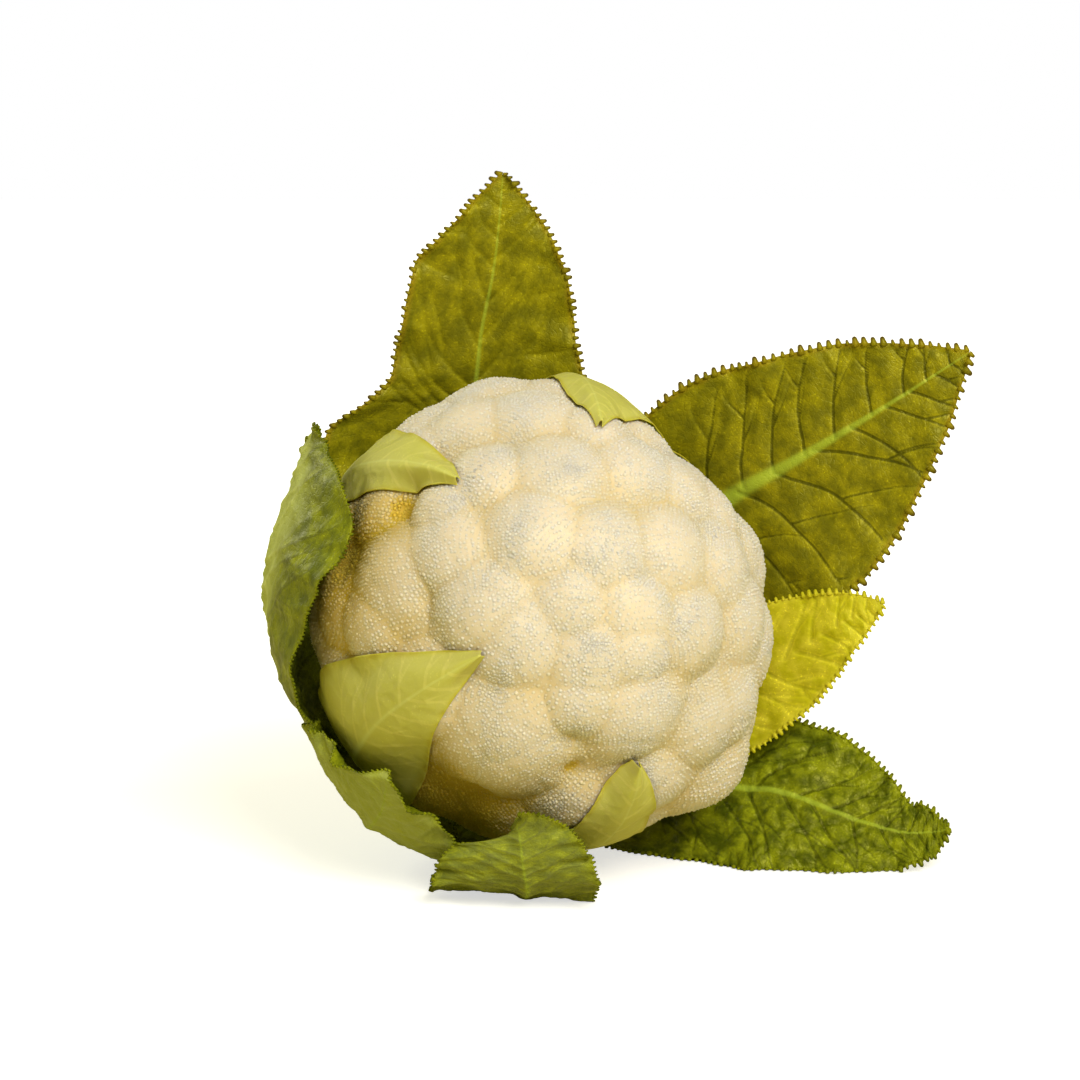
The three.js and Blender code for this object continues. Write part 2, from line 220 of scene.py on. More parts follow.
def new_piece(name, points_mm, faces, material=None):
    """A smooth mesh object from points in millimetres from the middle of the head."""
    points = np.asarray(points_mm, float) + np.array([0.0, 0.0, HEAD_HEIGHT])
    points[:, 2] = np.maximum(points[:, 2], 0.0)
    mesh = bpy.data.meshes.new(name)
    faces = faces.tolist() if isinstance(faces, np.ndarray) else faces
    mesh.from_pydata((points * MM).tolist(), [], faces)
    mesh.polygons.foreach_set("use_smooth", np.ones(len(mesh.polygons), bool))
    if material is not None:
        mesh.materials.append(material)
    mesh.update()
    piece = bpy.data.objects.new(name, mesh)
    bpy.context.scene.collection.objects.link(piece)
    return piece


def set_values(piece, name, values):
    """One number per point, for the materials and the node trees to read."""
    layer = piece.data.attributes.new(name, "FLOAT", "POINT")
    layer.data.foreach_set("value", np.asarray(values, np.float32).ravel())


def set_vectors(piece, name, vectors):
    """One vector per point."""
    layer = piece.data.attributes.new(name, "FLOAT_VECTOR", "POINT")
    layer.data.foreach_set("vector", np.asarray(vectors, np.float32).ravel())


def set_uv(piece, name, uv):
    """A UV map from one pair of numbers per point."""
    layer = piece.data.uv_layers.new(name=name)
    corner = np.zeros(len(piece.data.loops), np.int32)
    piece.data.loops.foreach_get("vertex_index", corner)
    layer.data.foreach_set("uv", np.asarray(uv, np.float32)[corner].ravel())


def grid_faces(rows, columns, start=0, closed=False, flip=False):
    """Quads of a grid of points that are numbered row by row."""
    row, column = np.meshgrid(
        np.arange(rows - 1), np.arange(columns if closed else columns - 1), indexing="ij")
    after = (column + 1) % columns
    a = start + row * columns + column
    b = start + row * columns + after
    c = start + (row + 1) * columns + after
    d = start + (row + 1) * columns + column
    order = [d, c, b, a] if flip else [a, b, c, d]
    return np.stack([part.ravel() for part in order], axis=1)


def finished(piece, node):
    """The piece takes its place: it rides on the root and stands for its CAD node."""
    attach(piece, "root")
    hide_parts(node)


def applied(piece):
    """The piece's modifiers worked into a plain mesh, and taken off."""
    depsgraph = bpy.context.evaluated_depsgraph_get()
    depsgraph.update()
    mesh = bpy.data.meshes.new_from_object(piece.evaluated_get(depsgraph))
    piece.modifiers.clear()
    old = piece.data
    piece.data = mesh
    bpy.data.meshes.remove(old)
    mesh.name = piece.name
    return piece


# ---- node trees --------------------------------------------------------------------------------


def link(tree, source, output, target, target_input):
    """Joins two nodes of a tree by socket name or number."""
    tree.links.new(source.outputs[output], target.inputs[target_input])


def geometry_tree(name, inputs):
    """An empty geometry tree with its named inputs, and its input and output nodes."""
    tree = bpy.data.node_groups.new(name, "GeometryNodeTree")
    tree.interface.new_socket("Geometry", in_out="INPUT", socket_type="NodeSocketGeometry")
    for label, kind, default in inputs:
        socket = tree.interface.new_socket(label, in_out="INPUT", socket_type=kind)
        if default is not None:
            socket.default_value = default
    tree.interface.new_socket("Geometry", in_out="OUTPUT", socket_type="NodeSocketGeometry")
    return tree, tree.nodes.new("NodeGroupInput"), tree.nodes.new("NodeGroupOutput")


def named_field(tree, name, kind):
    """A node that reads an attribute of the points."""
    node = tree.nodes.new("GeometryNodeInputNamedAttribute")
    node.data_type = kind
    node.inputs["Name"].default_value = name
    return node


def standing_copies(tree, given, points, points_output):
    """Copies of the input object, stood on points along their outward attribute and realized."""
    source = tree.nodes.new("GeometryNodeObjectInfo")
    link(tree, given, "Copy Of", source, "Object")
    outward = named_field(tree, "outward", "FLOAT_VECTOR")
    turned = tree.nodes.new("FunctionNodeAlignRotationToVector")
    turned.axis = "Z"
    link(tree, outward, "Attribute", turned, "Vector")
    spread = given.outputs["Spread"]
    low = math_node(tree, "SUBTRACT", 1.0, spread)
    high = math_node(tree, "ADD", 1.0, spread)
    chance = tree.nodes.new("FunctionNodeRandomValue")
    chance.data_type = "FLOAT"
    tree.links.new(low, chance.inputs[2])
    tree.links.new(high, chance.inputs[3])
    link(tree, given, "Seed", chance, "Seed")
    sized = math_node(tree, "MULTIPLY", chance.outputs[1], given.outputs["Size"])
    copies = tree.nodes.new("GeometryNodeInstanceOnPoints")
    tree.links.new(points.outputs[points_output], copies.inputs["Points"])
    link(tree, source, "Geometry", copies, "Instance")
    link(tree, turned, "Rotation", copies, "Rotation")
    tree.links.new(sized, copies.inputs["Scale"])
    realized = tree.nodes.new("GeometryNodeRealizeInstances")
    link(tree, copies, "Instances", realized, "Geometry")
    return realized


def scatter_inputs(size, spread, seed):
    """The named inputs that both trees share."""
    return [
        ("Copy Of", "NodeSocketObject", None),
        ("Material", "NodeSocketMaterial", None),
        ("Size", "NodeSocketFloat", size),
        ("Spread", "NodeSocketFloat", spread),
        ("Seed", "NodeSocketInt", seed),
    ]


def paint(tree, given, source, output):
    """Gives the source's geometry the tree's material and sends it out."""
    painted = tree.nodes.new("GeometryNodeSetMaterial")
    link(tree, source, "Geometry", painted, "Geometry")
    link(tree, given, "Material", painted, "Material")
    link(tree, painted, "Geometry", output, "Geometry")


def bud_tree():
    """Buds stood on the points of a floret map."""
    tree, given, output = geometry_tree("Curd Buds", scatter_inputs(1.0, 0.1, 5))
    realized = standing_copies(tree, given, given, "Geometry")
    paint(tree, given, realized, output)
    return tree


def teeth_tree():
    """Teeth set along the margin edges of a leaf, joined to its blade."""
    inputs = scatter_inputs(1.0, 0.2, 3) + [("Pitch", "NodeSocketFloat", 0.0023)]
    tree, given, output = geometry_tree("Margin Teeth", inputs)
    margin = named_field(tree, "margin_edge", "BOOLEAN")
    path = tree.nodes.new("GeometryNodeMeshToCurve")
    link(tree, given, "Geometry", path, "Mesh")
    link(tree, margin, "Attribute", path, "Selection")
    spaced = tree.nodes.new("GeometryNodeResampleCurve")
    spaced.mode = "LENGTH"
    link(tree, path, "Curve", spaced, "Curve")
    link(tree, given, "Pitch", spaced, "Length")
    realized = standing_copies(tree, given, spaced, "Curve")
    joined = tree.nodes.new("GeometryNodeJoinGeometry")
    tree.links.new(realized.outputs["Geometry"], joined.inputs[0])
    tree.links.new(given.outputs["Geometry"], joined.inputs[0])
    paint(tree, given, joined, output)
    return tree


def run_tree(piece, tree, **values):
    """Runs a geometry tree on a piece with its named inputs, and keeps the plain result."""
    modifier = piece.modifiers.new(tree.name, "NODES")
    modifier.node_group = tree
    sockets = {
        item.name: item.identifier for item in tree.interface.items_tree
        if item.item_type == "SOCKET" and item.in_out == "INPUT"}
    for label, value in values.items():
        modifier[sockets[label.replace("_", " ")]] = value
    return applied(piece)


# ---- materials ---------------------------------------------------------------------------------


def shader_group(name, inputs, outputs):
    """An empty shader group with its sockets, and its input and output nodes."""
    group = bpy.data.node_groups.new(name, "ShaderNodeTree")
    for label, kind, default in inputs:
        socket = group.interface.new_socket(label, in_out="INPUT", socket_type=kind)
        socket.default_value = default
    for label, kind in outputs:
        group.interface.new_socket(label, in_out="OUTPUT", socket_type=kind)
    return group, group.nodes.new("NodeGroupInput"), group.nodes.new("NodeGroupOutput")


def attribute(tree, name):
    """A node that reads a number stored on the points."""
    node = tree.nodes.new("ShaderNodeAttribute")
    node.attribute_name = name
    return node.outputs["Fac"]


def noise(tree, vector, scale, detail=2.0, rough=0.5):
    """A noise field on the given coordinates."""
    node = tree.nodes.new("ShaderNodeTexNoise")
    node.inputs["Scale"].default_value = scale
    node.inputs["Detail"].default_value = detail
    node.inputs["Roughness"].default_value = rough
    tree.links.new(vector, node.inputs["Vector"])
    return node


def mix(tree, factor, a, b, blend="MIX"):
    """A colour mix; a and b are sockets or colours, factor a socket or a number."""
    node = tree.nodes.new("ShaderNodeMix")
    node.data_type = "RGBA"
    node.blend_type = blend
    for value, socket in ((factor, node.inputs[0]), (a, node.inputs[6]), (b, node.inputs[7])):
        if isinstance(value, bpy.types.NodeSocket):
            tree.links.new(value, socket)
        elif isinstance(value, (int, float)):
            socket.default_value = value
        else:
            socket.default_value = (*value[:3], 1.0)
    return node.outputs[2]


def math_node(tree, operation, a, b=None, clamp=False):
    """A math node; a and b are sockets or numbers."""
    node = tree.nodes.new("ShaderNodeMath")
    node.operation = operation
    node.use_clamp = clamp
    for value, socket in zip((a, b), node.inputs):
        if isinstance(value, bpy.types.NodeSocket):
            tree.links.new(value, socket)
        elif value is not None:
            socket.default_value = value
    return node.outputs[0]


def ramp(tree, value, low, high, to_low=0.0, to_high=1.0):
    """A smooth rise of a value from low to high."""
    node = tree.nodes.new("ShaderNodeMapRange")
    node.interpolation_type = "SMOOTHSTEP"
    tree.links.new(value, node.inputs["Value"])
    node.inputs["From Min"].default_value = low
    node.inputs["From Max"].default_value = high
    node.inputs["To Min"].default_value = to_low
    node.inputs["To Max"].default_value = to_high
    return node.outputs["Result"]


def principled(name, roughness, **sockets):
    """A material with one Principled shader, and its tree and shader."""
    material = bpy.data.materials.new(name)
    material.use_nodes = True
    tree = material.node_tree
    shader = tree.nodes["Principled BSDF"]
    shader.inputs["Roughness"].default_value = roughness
    for label, value in sockets.items():
        shader.inputs[label.replace("_", " ")].default_value = value
    return material, tree, shader


def bump(tree, shader, height, strength, distance):
    """A bump of the given height into the shader's normal."""
    node = tree.nodes.new("ShaderNodeBump")
    node.inputs["Strength"].default_value = strength
    node.inputs["Distance"].default_value = distance
    tree.links.new(height, node.inputs["Height"])
    tree.links.new(node.outputs["Normal"], shader.inputs["Normal"])


def object_coordinates(tree):
    """The coordinates of the piece itself, in metres."""
    return tree.nodes.new("ShaderNodeTexCoord").outputs["Object"]


def cell_lines(tree, vector, scale, width):
    """Soft lines along the borders of flat uneven cells."""
    node = tree.nodes.new("ShaderNodeTexVoronoi")
    node.voronoi_dimensions = "2D"
    node.feature = "DISTANCE_TO_EDGE"
    node.inputs["Scale"].default_value = scale
    tree.links.new(vector, node.inputs["Vector"])
    return ramp(tree, node.outputs["Distance"], 0.0, width, 1.0, 0.0)


def leaf_skin_group():
    """Colour, height and roughness of a leaf from the map of its blade."""
    group, given, output = shader_group("Leaf Skin", [
        ("Deep", "NodeSocketColor", (0.1, 0.1, 0.01, 1.0)),
        ("Bright", "NodeSocketColor", (0.3, 0.3, 0.01, 1.0)),
        ("Rib", "NodeSocketColor", (0.4, 0.5, 0.1, 1.0)),
        ("Underside", "NodeSocketColor", (0.4, 0.4, 0.1, 1.0)),
        ("Margin", "NodeSocketColor", (0.4, 0.3, 0.02, 1.0)),
        ("Tooth Tip", "NodeSocketColor", (0.05, 0.03, 0.01, 1.0)),
        ("Vein Shade", "NodeSocketFloat", 0.5),
    ], [("Colour", "NodeSocketColor"), ("Height", "NodeSocketFloat"),
        ("Roughness", "NodeSocketFloat")])
    blade = group.nodes.new("ShaderNodeUVMap")
    blade.uv_map = "Blade"
    place = blade.outputs["UV"]
    wander = noise(group, place, 9.0, 2.0)
    moved = group.nodes.new("ShaderNodeVectorMath")
    moved.operation = "MULTIPLY_ADD"
    group.links.new(wander.outputs["Color"], moved.inputs[0])
    moved.inputs[1].default_value = (0.045, 0.045, 0.0)
    group.links.new(place, moved.inputs[2])
    net_line = cell_lines(group, moved.outputs["Vector"], 20.0, 0.10)
    fine_line = cell_lines(group, moved.outputs["Vector"], 62.0, 0.16)

    patches = ramp(group, noise(group, place, 16.0, 3.0, 0.62).outputs["Fac"], 0.32, 0.70)
    tone = mix(group, patches, given.outputs["Deep"], given.outputs["Bright"])
    under = attribute(group, "under")
    vein = attribute(group, "vein")
    veins = ramp(group, vein, 0.40, 0.72)
    # painted highlight along both sides of each vein
    vein_highlight = math_node(group, "MULTIPLY", ramp(group, vein, 0.02, 0.34), 0.5)
    rib = attribute(group, "rib")
    lines = math_node(group, "MAXIMUM", math_node(group, "MULTIPLY", net_line, 0.05), veins)
    shade = math_node(group, "MULTIPLY", lines, given.outputs["Vein Shade"])
    # painted glints: small bright specks lighten the lighter patches
    painted_glints = ramp(group, noise(group, place, 130.0, 1.0).outputs["Fac"], 0.60, 0.72, 0.0, 0.8)
    tone = mix(group, math_node(group, "MULTIPLY", painted_glints, patches), tone,
               mix(group, 1.0, tone, (1.9, 1.9, 1.7), "MULTIPLY"))
    lit = mix(group, vein_highlight, tone, mix(group, 1.0, tone, (1.35, 1.35, 1.6), "MULTIPLY"))
    dark = mix(group, shade, lit, mix(group, 1.0, tone, (0.30, 0.32, 0.26), "MULTIPLY"))
    worn = ramp(group, noise(group, place, 22.0, 2.0).outputs["Fac"], 0.35, 0.62, 0.35, 1.5)
    edge = math_node(group, "MULTIPLY", attribute(group, "edge"), worn, clamp=True)
    # the margin tint; on pressed leaves this mask also carries painted shade near the base
    warm = mix(group, edge, dark, given.outputs["Margin"])
    pale_lines = math_node(group, "MULTIPLY", lines, 0.45)
    sage = mix(group, pale_lines, given.outputs["Underside"],
               mix(group, 1.0, given.outputs["Underside"], (1.35, 1.30, 1.55), "MULTIPLY"))
    sage = mix(group, ramp(group, patches, 0.0, 1.0, 0.0, 0.35), sage, tone)
    faced = mix(group, under, warm, sage)
    ribbed = mix(group, rib, faced, given.outputs["Rib"])
    tipped = mix(group, attribute(group, "tip"), ribbed, given.outputs["Tooth Tip"])
    group.links.new(tipped, output.inputs["Colour"])

    grooves = math_node(group, "MULTIPLY", net_line, -0.12)
    pits = math_node(group, "MULTIPLY", fine_line, -0.2)
    skin = math_node(group, "ADD", grooves, pits)
    specks = math_node(group, "MULTIPLY", noise(group, place, 120.0, 2.0).outputs["Fac"], 0.25)
    group.links.new(math_node(group, "ADD", skin, specks), output.inputs["Height"])
    gloss = ramp(group, noise(group, place, 34.0, 2.0).outputs["Fac"], 0.35, 0.65, 0.34, 0.56)
    group.links.new(mix_values(group, under, gloss, 0.62), output.inputs["Roughness"])
    return group


def mix_values(tree, factor, a, b):
    """A number mixed between a socket and a plain number."""
    node = tree.nodes.new("ShaderNodeMix")
    node.data_type = "FLOAT"
    tree.links.new(factor, node.inputs[0])
    tree.links.new(a, node.inputs[2])
    node.inputs[3].default_value = b
    return node.outputs[0]


def leaf_material(name, skin, deep, bright, rib, underside, margin, tip, shade, glow, rough):
    """One leaf finish; glow is how much light soaks through the blade, rough how uneven it is."""
    material, tree, shader = principled(name, 0.45, Subsurface_Weight=glow,
                                        Subsurface_Scale=0.001, Specular_IOR_Level=0.4,
                                        Specular_Tint=(1.0, 0.95, 0.2, 1.0))
    shader.inputs["Subsurface Radius"].default_value = (1.6, 1.8, 0.5)
    group = tree.nodes.new("ShaderNodeGroup")
    group.node_tree = skin
    for label, value in (("Deep", deep), ("Bright", bright), ("Rib", rib),
                         ("Underside", underside), ("Margin", margin), ("Tooth Tip", tip)):
        group.inputs[label].default_value = (*value, 1.0)
    group.inputs["Vein Shade"].default_value = shade
    link(tree, group, "Colour", shader, "Base Color")
    link(tree, group, "Roughness", shader, "Roughness")
    bump(tree, shader, group.outputs["Height"], rough, 0.0006)
    return material


def curd_material(name, settings, deep):
    """Buds and the ground between them; deep is painted shade that darkens it towards gold."""
    material, tree, shader = principled(name, 0.45, Subsurface_Weight=0.7,
                                        Subsurface_Scale=0.001, Specular_IOR_Level=0.3,
                                        Specular_Tint=(1.0, 0.92, 0.7, 1.0))
    shader.inputs["Subsurface Radius"].default_value = (1.8, 1.5, 1.0)
    place = object_coordinates(tree)
    crease = attribute(tree, "crease")
    low = attribute(tree, "low")
    blotch = noise(tree, place, 55.0, 3.0).outputs["Fac"]
    soft = ramp(tree, blotch, 0.40, 0.78, 0.0, 0.08)
    # painted shade from creases, pockets and shaded sides, with random blotches, turns the cream
    # towards gold
    shade_and_blotch = math_node(tree, "ADD", math_node(tree, "ADD", crease, soft), deep, clamp=True)
    tone = mix(tree, shade_and_blotch, settings.cream, settings.gold_shade_and_blotch)
    speck = ramp(tree, noise(tree, place, 900.0, 1.0).outputs["Fac"], 0.3, 0.7, 0.0, 0.16)
    tone = mix(tree, speck, tone, mix(tree, 1.0, tone, (0.80, 0.72, 0.50), "MULTIPLY"))
    tone = mix(tree, low, tone, settings.branch)
    tree.links.new(tone, shader.inputs["Base Color"])
    bump(tree, shader, noise(tree, place, 700.0, 2.0).outputs["Fac"], 0.25, 0.0003)
    return material


# ---- the curd ----------------------------------------------------------------------------------

# Each floret: degrees away from the crown, degrees round it, half-width in millimetres.
FLORETS = [
    (7, -157, 9), (12, 71, 12), (12, -24, 10), (17, -95, 11), (19, -54, 9), (21, 132, 14),
    (23, -151, 13), (25, 27, 12), (28, -176, 14), (29, -97, 9), (30, -20, 11), (34, 98, 13),
    (35, -69, 14), (40, 63, 12), (40, 158, 12), (43, 126, 10), (44, 12, 13), (45, 43, 11),
    (46, 145, 8), (47, -121, 20), (51, 79, 10), (53, -150, 13), (54, 30, 12), (54, -8, 13),
    (54, -46, 12), (56, 171, 15), (59, 97, 14), (61, -32, 11), (62, -69, 14), (64, -177, 11),
    (66, 60, 14), (66, -90, 12), (66, 116, 13), (68, 14, 15), (68, 150, 10), (69, 132, 10),
    (71, -12, 14), (74, 40, 16), (76, 82, 16), (79, 176, 14), (80, -49, 14), (82, 102, 15),
    (82, -100, 15), (84, 124, 15), (84, -74, 14), (84, 148, 15), (87, -162, 15),
]
RIM_FLORETS, RIM_AWAY, RIM_SIZE = 14, 97.0, 18.0

# Where the head is out of round: degrees away, degrees round, height and half-width.
SWELLINGS = [(84, -45, 9.5, 26), (76, 47, -7.0, 26), (87, 103, 2.5, 26)]

# Deep pockets between florets: degrees away, degrees round, depth and half-width.
POCKETS = [(59, 149, 3.6, 4.2), (49, -95, 2.6, 4.5), (38, -98, 1.6, 4.0), (44, 178, 1.4, 4.0),
           (76, 167, 3.2, 6.0), (69, -118, 2.6, 6.0)]

# Painted shade, golden, on the curd's shaded sides: degrees away, degrees round, strength and
# half-width.
PAINTED_SHADE_SIDES = [(80, 168, 0.90, 30), (86, -120, 0.95, 35), (62, 150, 0.30, 15),
                (92, -80, 0.50, 24)]
BRANCHES = 13
LOBES = 420
BUDS_END = 112.0


def floret_balls():
    """The middle and radius of the ball that each floret is part of."""
    rim = [(RIM_AWAY, 360.0 * i / RIM_FLORETS, RIM_SIZE) for i in range(RIM_FLORETS)]
    away, around, size = np.array(FLORETS + rim, float).T
    swell = size * FLORET_FLATNESS
    return on_head(away, around, HEAD_RADIUS - swell), swell


def bumps(directions, places):
    """Rounded rises at places given by degrees away, degrees round, height and half-width."""
    total = np.zeros(directions.shape[:-1])
    for away, around, height, width in places:
        off = np.arccos(np.clip(directions @ on_head(away, around, 1.0), -1.0, 1.0)) * HEAD_RADIUS
        total += height * np.exp(-((off / width) ** 2))
    return total


def lobe_directions():
    """Evenly spread directions with a little unevenness, one for each small lobe."""
    chance = np.random.default_rng(11)
    i = np.arange(LOBES) + 0.5
    height = 1.0 - 2.0 * i / LOBES
    ring = np.sqrt(1.0 - height**2)
    turn = i * GOLDEN_ANGLE
    even = np.stack([ring * np.cos(turn), ring * np.sin(turn), height], axis=1)
    return unit(even + chance.normal(0.0, 0.035, even.shape))


BALL_MIDDLES, BALL_RADII = floret_balls()
LOBE_CROWNS = lobe_directions()


def ball_reaches(directions):
    """How far each floret ball reaches along each direction, or 0 where it is missed."""
    along = directions @ BALL_MIDDLES.T
    inside = along**2 - (BALL_MIDDLES**2).sum(axis=1) + BALL_RADII**2
    hit = (along > 0.0) & (inside > 0.0)
    return np.where(hit, along + np.sqrt(np.maximum(inside, 0.0)), 0.0)


def core_reach(away):
    """How far the plain head reaches, without its florets."""
    floor = HEAD_RADIUS - CREASE_DEPTH
    return floor + (UNDERSIDE_RADIUS - floor) * smoothstep(away, 84.0, 150.0)


def away_and_around(directions):
    """Degrees away from the crown and degrees round it, for unit directions."""
    away = np.degrees(np.arccos(np.clip(directions @ FACING, -1.0, 1.0)))
    around = np.degrees(np.arctan2(directions @ UPWARD, directions @ ACROSS))
    return away, around


def curd_reach(directions, lobe_height):
    """Distance from the middle of the head to the curd's skin, and the painted shade it gets there.
    """
    away, around = away_and_around(directions)
    terms = np.exp((core_reach(away) - HEAD_RADIUS) / CREASE_SOFTNESS)
    reaches = ball_reaches(directions)
    terms += np.where(reaches > 0.0, np.exp((reaches - HEAD_RADIUS) / CREASE_SOFTNESS), 0.0).sum(
        axis=1)
    reach = HEAD_RADIUS + CREASE_SOFTNESS * np.log(terms)
    nearest = np.sort(np.arccos(np.clip(directions @ LOBE_CROWNS.T, -1.0, 1.0)), axis=1)[:, :2]
    gap = (nearest[:, 1] - nearest[:, 0]) * HEAD_RADIUS
    front = 1.0 - smoothstep(away, 100.0, 118.0)
    reach += front * lobe_height * (smoothstep(gap, 0.0, 4.5) - 0.7)
    pocket = bumps(directions, POCKETS)
    highest = np.sort(reaches, axis=1)[:, -2:]
    seam = front * (1.0 - smoothstep(highest[:, 1] - highest[:, 0], 0.0, 1.3))
    reach -= pocket + 0.22 * seam
    groove = np.abs(np.sin(np.radians(around) * BRANCHES / 2.0)) ** 0.6
    under = smoothstep(away, 104.0, 118.0) * (1.0 - smoothstep(away, 150.0, 164.0))
    reach += under * 5.0 * (groove - 0.75)
    # painted shade: golden down in creases, seams and pockets, on the shaded sides, and in the
    # grooves between branches under the head
    crease = 0.26 * smoothstep(HEAD_RADIUS - reach - pocket, 0.8, 4.2) + 0.12 * seam
    crease += 0.8 * smoothstep(pocket, 0.8, 3.2) + bumps(directions, PAINTED_SHADE_SIDES)
    crease = crease * front + (1.0 - front) * (1.0 - groove) * 0.6
    return reach + bumps(directions, SWELLINGS), crease


def in_batches(directions, lobe_height, batch=20000):
    """curd_reach for many directions, a batch at a time."""
    parts = [curd_reach(directions[i:i + batch], lobe_height)
             for i in range(0, len(directions), batch)]
    return np.concatenate([p[0] for p in parts]), np.concatenate([p[1] for p in parts])


def curd_normals(directions, lobe_height):
    """Outward directions of the curd's skin."""
    helper = np.where(np.abs(directions[:, 2:3]) < 0.9, [[0.0, 0.0, 1.0]], [[1.0, 0.0, 0.0]])
    first = unit(np.cross(directions, helper))
    second = np.cross(directions, first)
    step = 0.006
    here = directions * in_batches(directions, lobe_height)[0][:, None]
    beside = unit(directions + first * step)
    beside = beside * in_batches(beside, lobe_height)[0][:, None]
    beyond = unit(directions + second * step)
    beyond = beyond * in_batches(beyond, lobe_height)[0][:, None]
    normals = unit(np.cross(beside - here, beyond - here))
    return normals * np.sign((normals * directions).sum(axis=1, keepdims=True))


def bud_directions(pitch):
    """Directions of the buds: one long spiral over the head, made wavy so its rows wander."""
    count = int(4.0 * math.pi * HEAD_RADIUS**2 / (0.866 * pitch**2))
    i = np.arange(count) + 0.5
    height = 1.0 - 2.0 * i / count
    ring = np.sqrt(1.0 - height**2)
    turn = i * GOLDEN_ANGLE
    even = np.stack([ring * np.cos(turn), height, ring * np.sin(turn)], axis=1)
    x, y, z = (even * HEAD_RADIUS).T
    waves = [ripples(x, z + 0.7 * y, 26.0, 21), ripples(y, x - 0.6 * z, 24.0, 22),
             ripples(z, y + 0.8 * x, 25.0, 23)]
    chance = np.random.default_rng(7)
    moved = even + 0.026 * np.stack(waves, axis=1)
    moved += chance.normal(0.0, 0.13 * pitch / HEAD_RADIUS, even.shape)
    directions = unit(moved)
    away, _ = away_and_around(directions)
    return directions[away < BUDS_END]


def bud_source(radius_mm):
    """One bud: a small twenty-sided ball, a little taller than wide."""
    mesh = bpy.data.meshes.new("bud")
    form = bmesh.new()
    bmesh.ops.create_icosphere(form, subdivisions=1, radius=radius_mm * MM)
    bmesh.ops.scale(form, vec=(1.0, 1.0, 1.12), verts=form.verts)
    form.to_mesh(mesh)
    form.free()
    mesh.polygons.foreach_set("use_smooth", np.ones(len(mesh.polygons), bool))
    return bpy.data.objects.new("bud", mesh)


def head_map(directions):
    """A flat equal-area map of the front of the head, for a UV map."""
    away, around = away_and_around(directions)
    spread = np.sin(np.radians(away) / 2.0) / math.sin(math.radians(120.0) / 2.0)
    turn = np.radians(around)
    return 0.5 + 0.49 * np.stack([spread * np.cos(turn), spread * np.sin(turn)], axis=1)


class CAULI_OT_curd(bpy.types.Operator):
    """Builds the curd: its florets and branches as one skin, and the buds that cover them"""

    bl_idname = "cauli.curd"
    bl_label = "Curd"

    def execute(self, context):
        settings = context.scene.cauli_curd
        lobe = settings.lobe_height / MM
        self.build_skin(settings, lobe)
        self.build_buds(settings, lobe)
        return {"FINISHED"}

    def build_skin(self, settings, lobe):
        form = bmesh.new()
        bmesh.ops.create_icosphere(form, subdivisions=7, radius=1.0)
        directions = unit(np.array([v.co[:] for v in form.verts]))
        faces = np.array([[v.index for v in f.verts] for f in form.faces])
        form.free()
        reach, crease = in_batches(directions, lobe)
        # the ground between the buds gets painted shade towards gold
        skin = new_piece("curd_skin", directions * reach[:, None], faces,
                         curd_material("Curd Ground", settings, 0.17))
        away, _ = away_and_around(directions)
        set_values(skin, "crease", crease)
        set_values(skin, "low", smoothstep(away, 98.0, 116.0))
        finished(skin, "curd")

    def build_buds(self, settings, lobe):
        pitch = settings.bud_pitch / MM
        directions = bud_directions(pitch)
        reach, crease = in_batches(directions, lobe)
        normals = curd_normals(directions, lobe)
        away, around = away_and_around(directions)
        material = curd_material("Curd Buds", settings, 0.0)
        source = bud_source(settings.bud_radius / MM)
        tree = bud_tree()
        order = np.argsort(around)
        for part, chosen in enumerate(np.array_split(order, 4)):
            spots = directions[chosen] * (reach[chosen] - BUD_SINK)[:, None]
            buds = new_piece(f"curd_buds_{part + 1}", spots, [])
            set_vectors(buds, "outward", normals[chosen])
            set_values(buds, "crease", crease[chosen])
            set_values(buds, "low", smoothstep(away[chosen], 100.0, 122.0))
            run_tree(buds, tree, Copy_Of=source, Material=material, Size=1.0,
                     Spread=settings.bud_spread, Seed=part)
            points = np.zeros(len(buds.data.vertices) * 3, np.float32)
            buds.data.vertices.foreach_get("co", points)
            from_middle = points.reshape(-1, 3) / MM - [0.0, 0.0, HEAD_HEIGHT]
            set_uv(buds, "OFBake", head_map(unit(from_middle)))
            finished(buds, "curd")


# ---- the stalk ---------------------------------------------------------------------------------


def stalk_radius(height):
    """Radius of the stalk along its length, from the curd to the cut."""
    place = height / STALK_LENGTH
    wide = STALK_RADIUS + 0.9 * np.sin(place * math.pi) - 0.9 * place
    return wide - 2.2 * smoothstep(place, 0.95, 1.0) ** 2


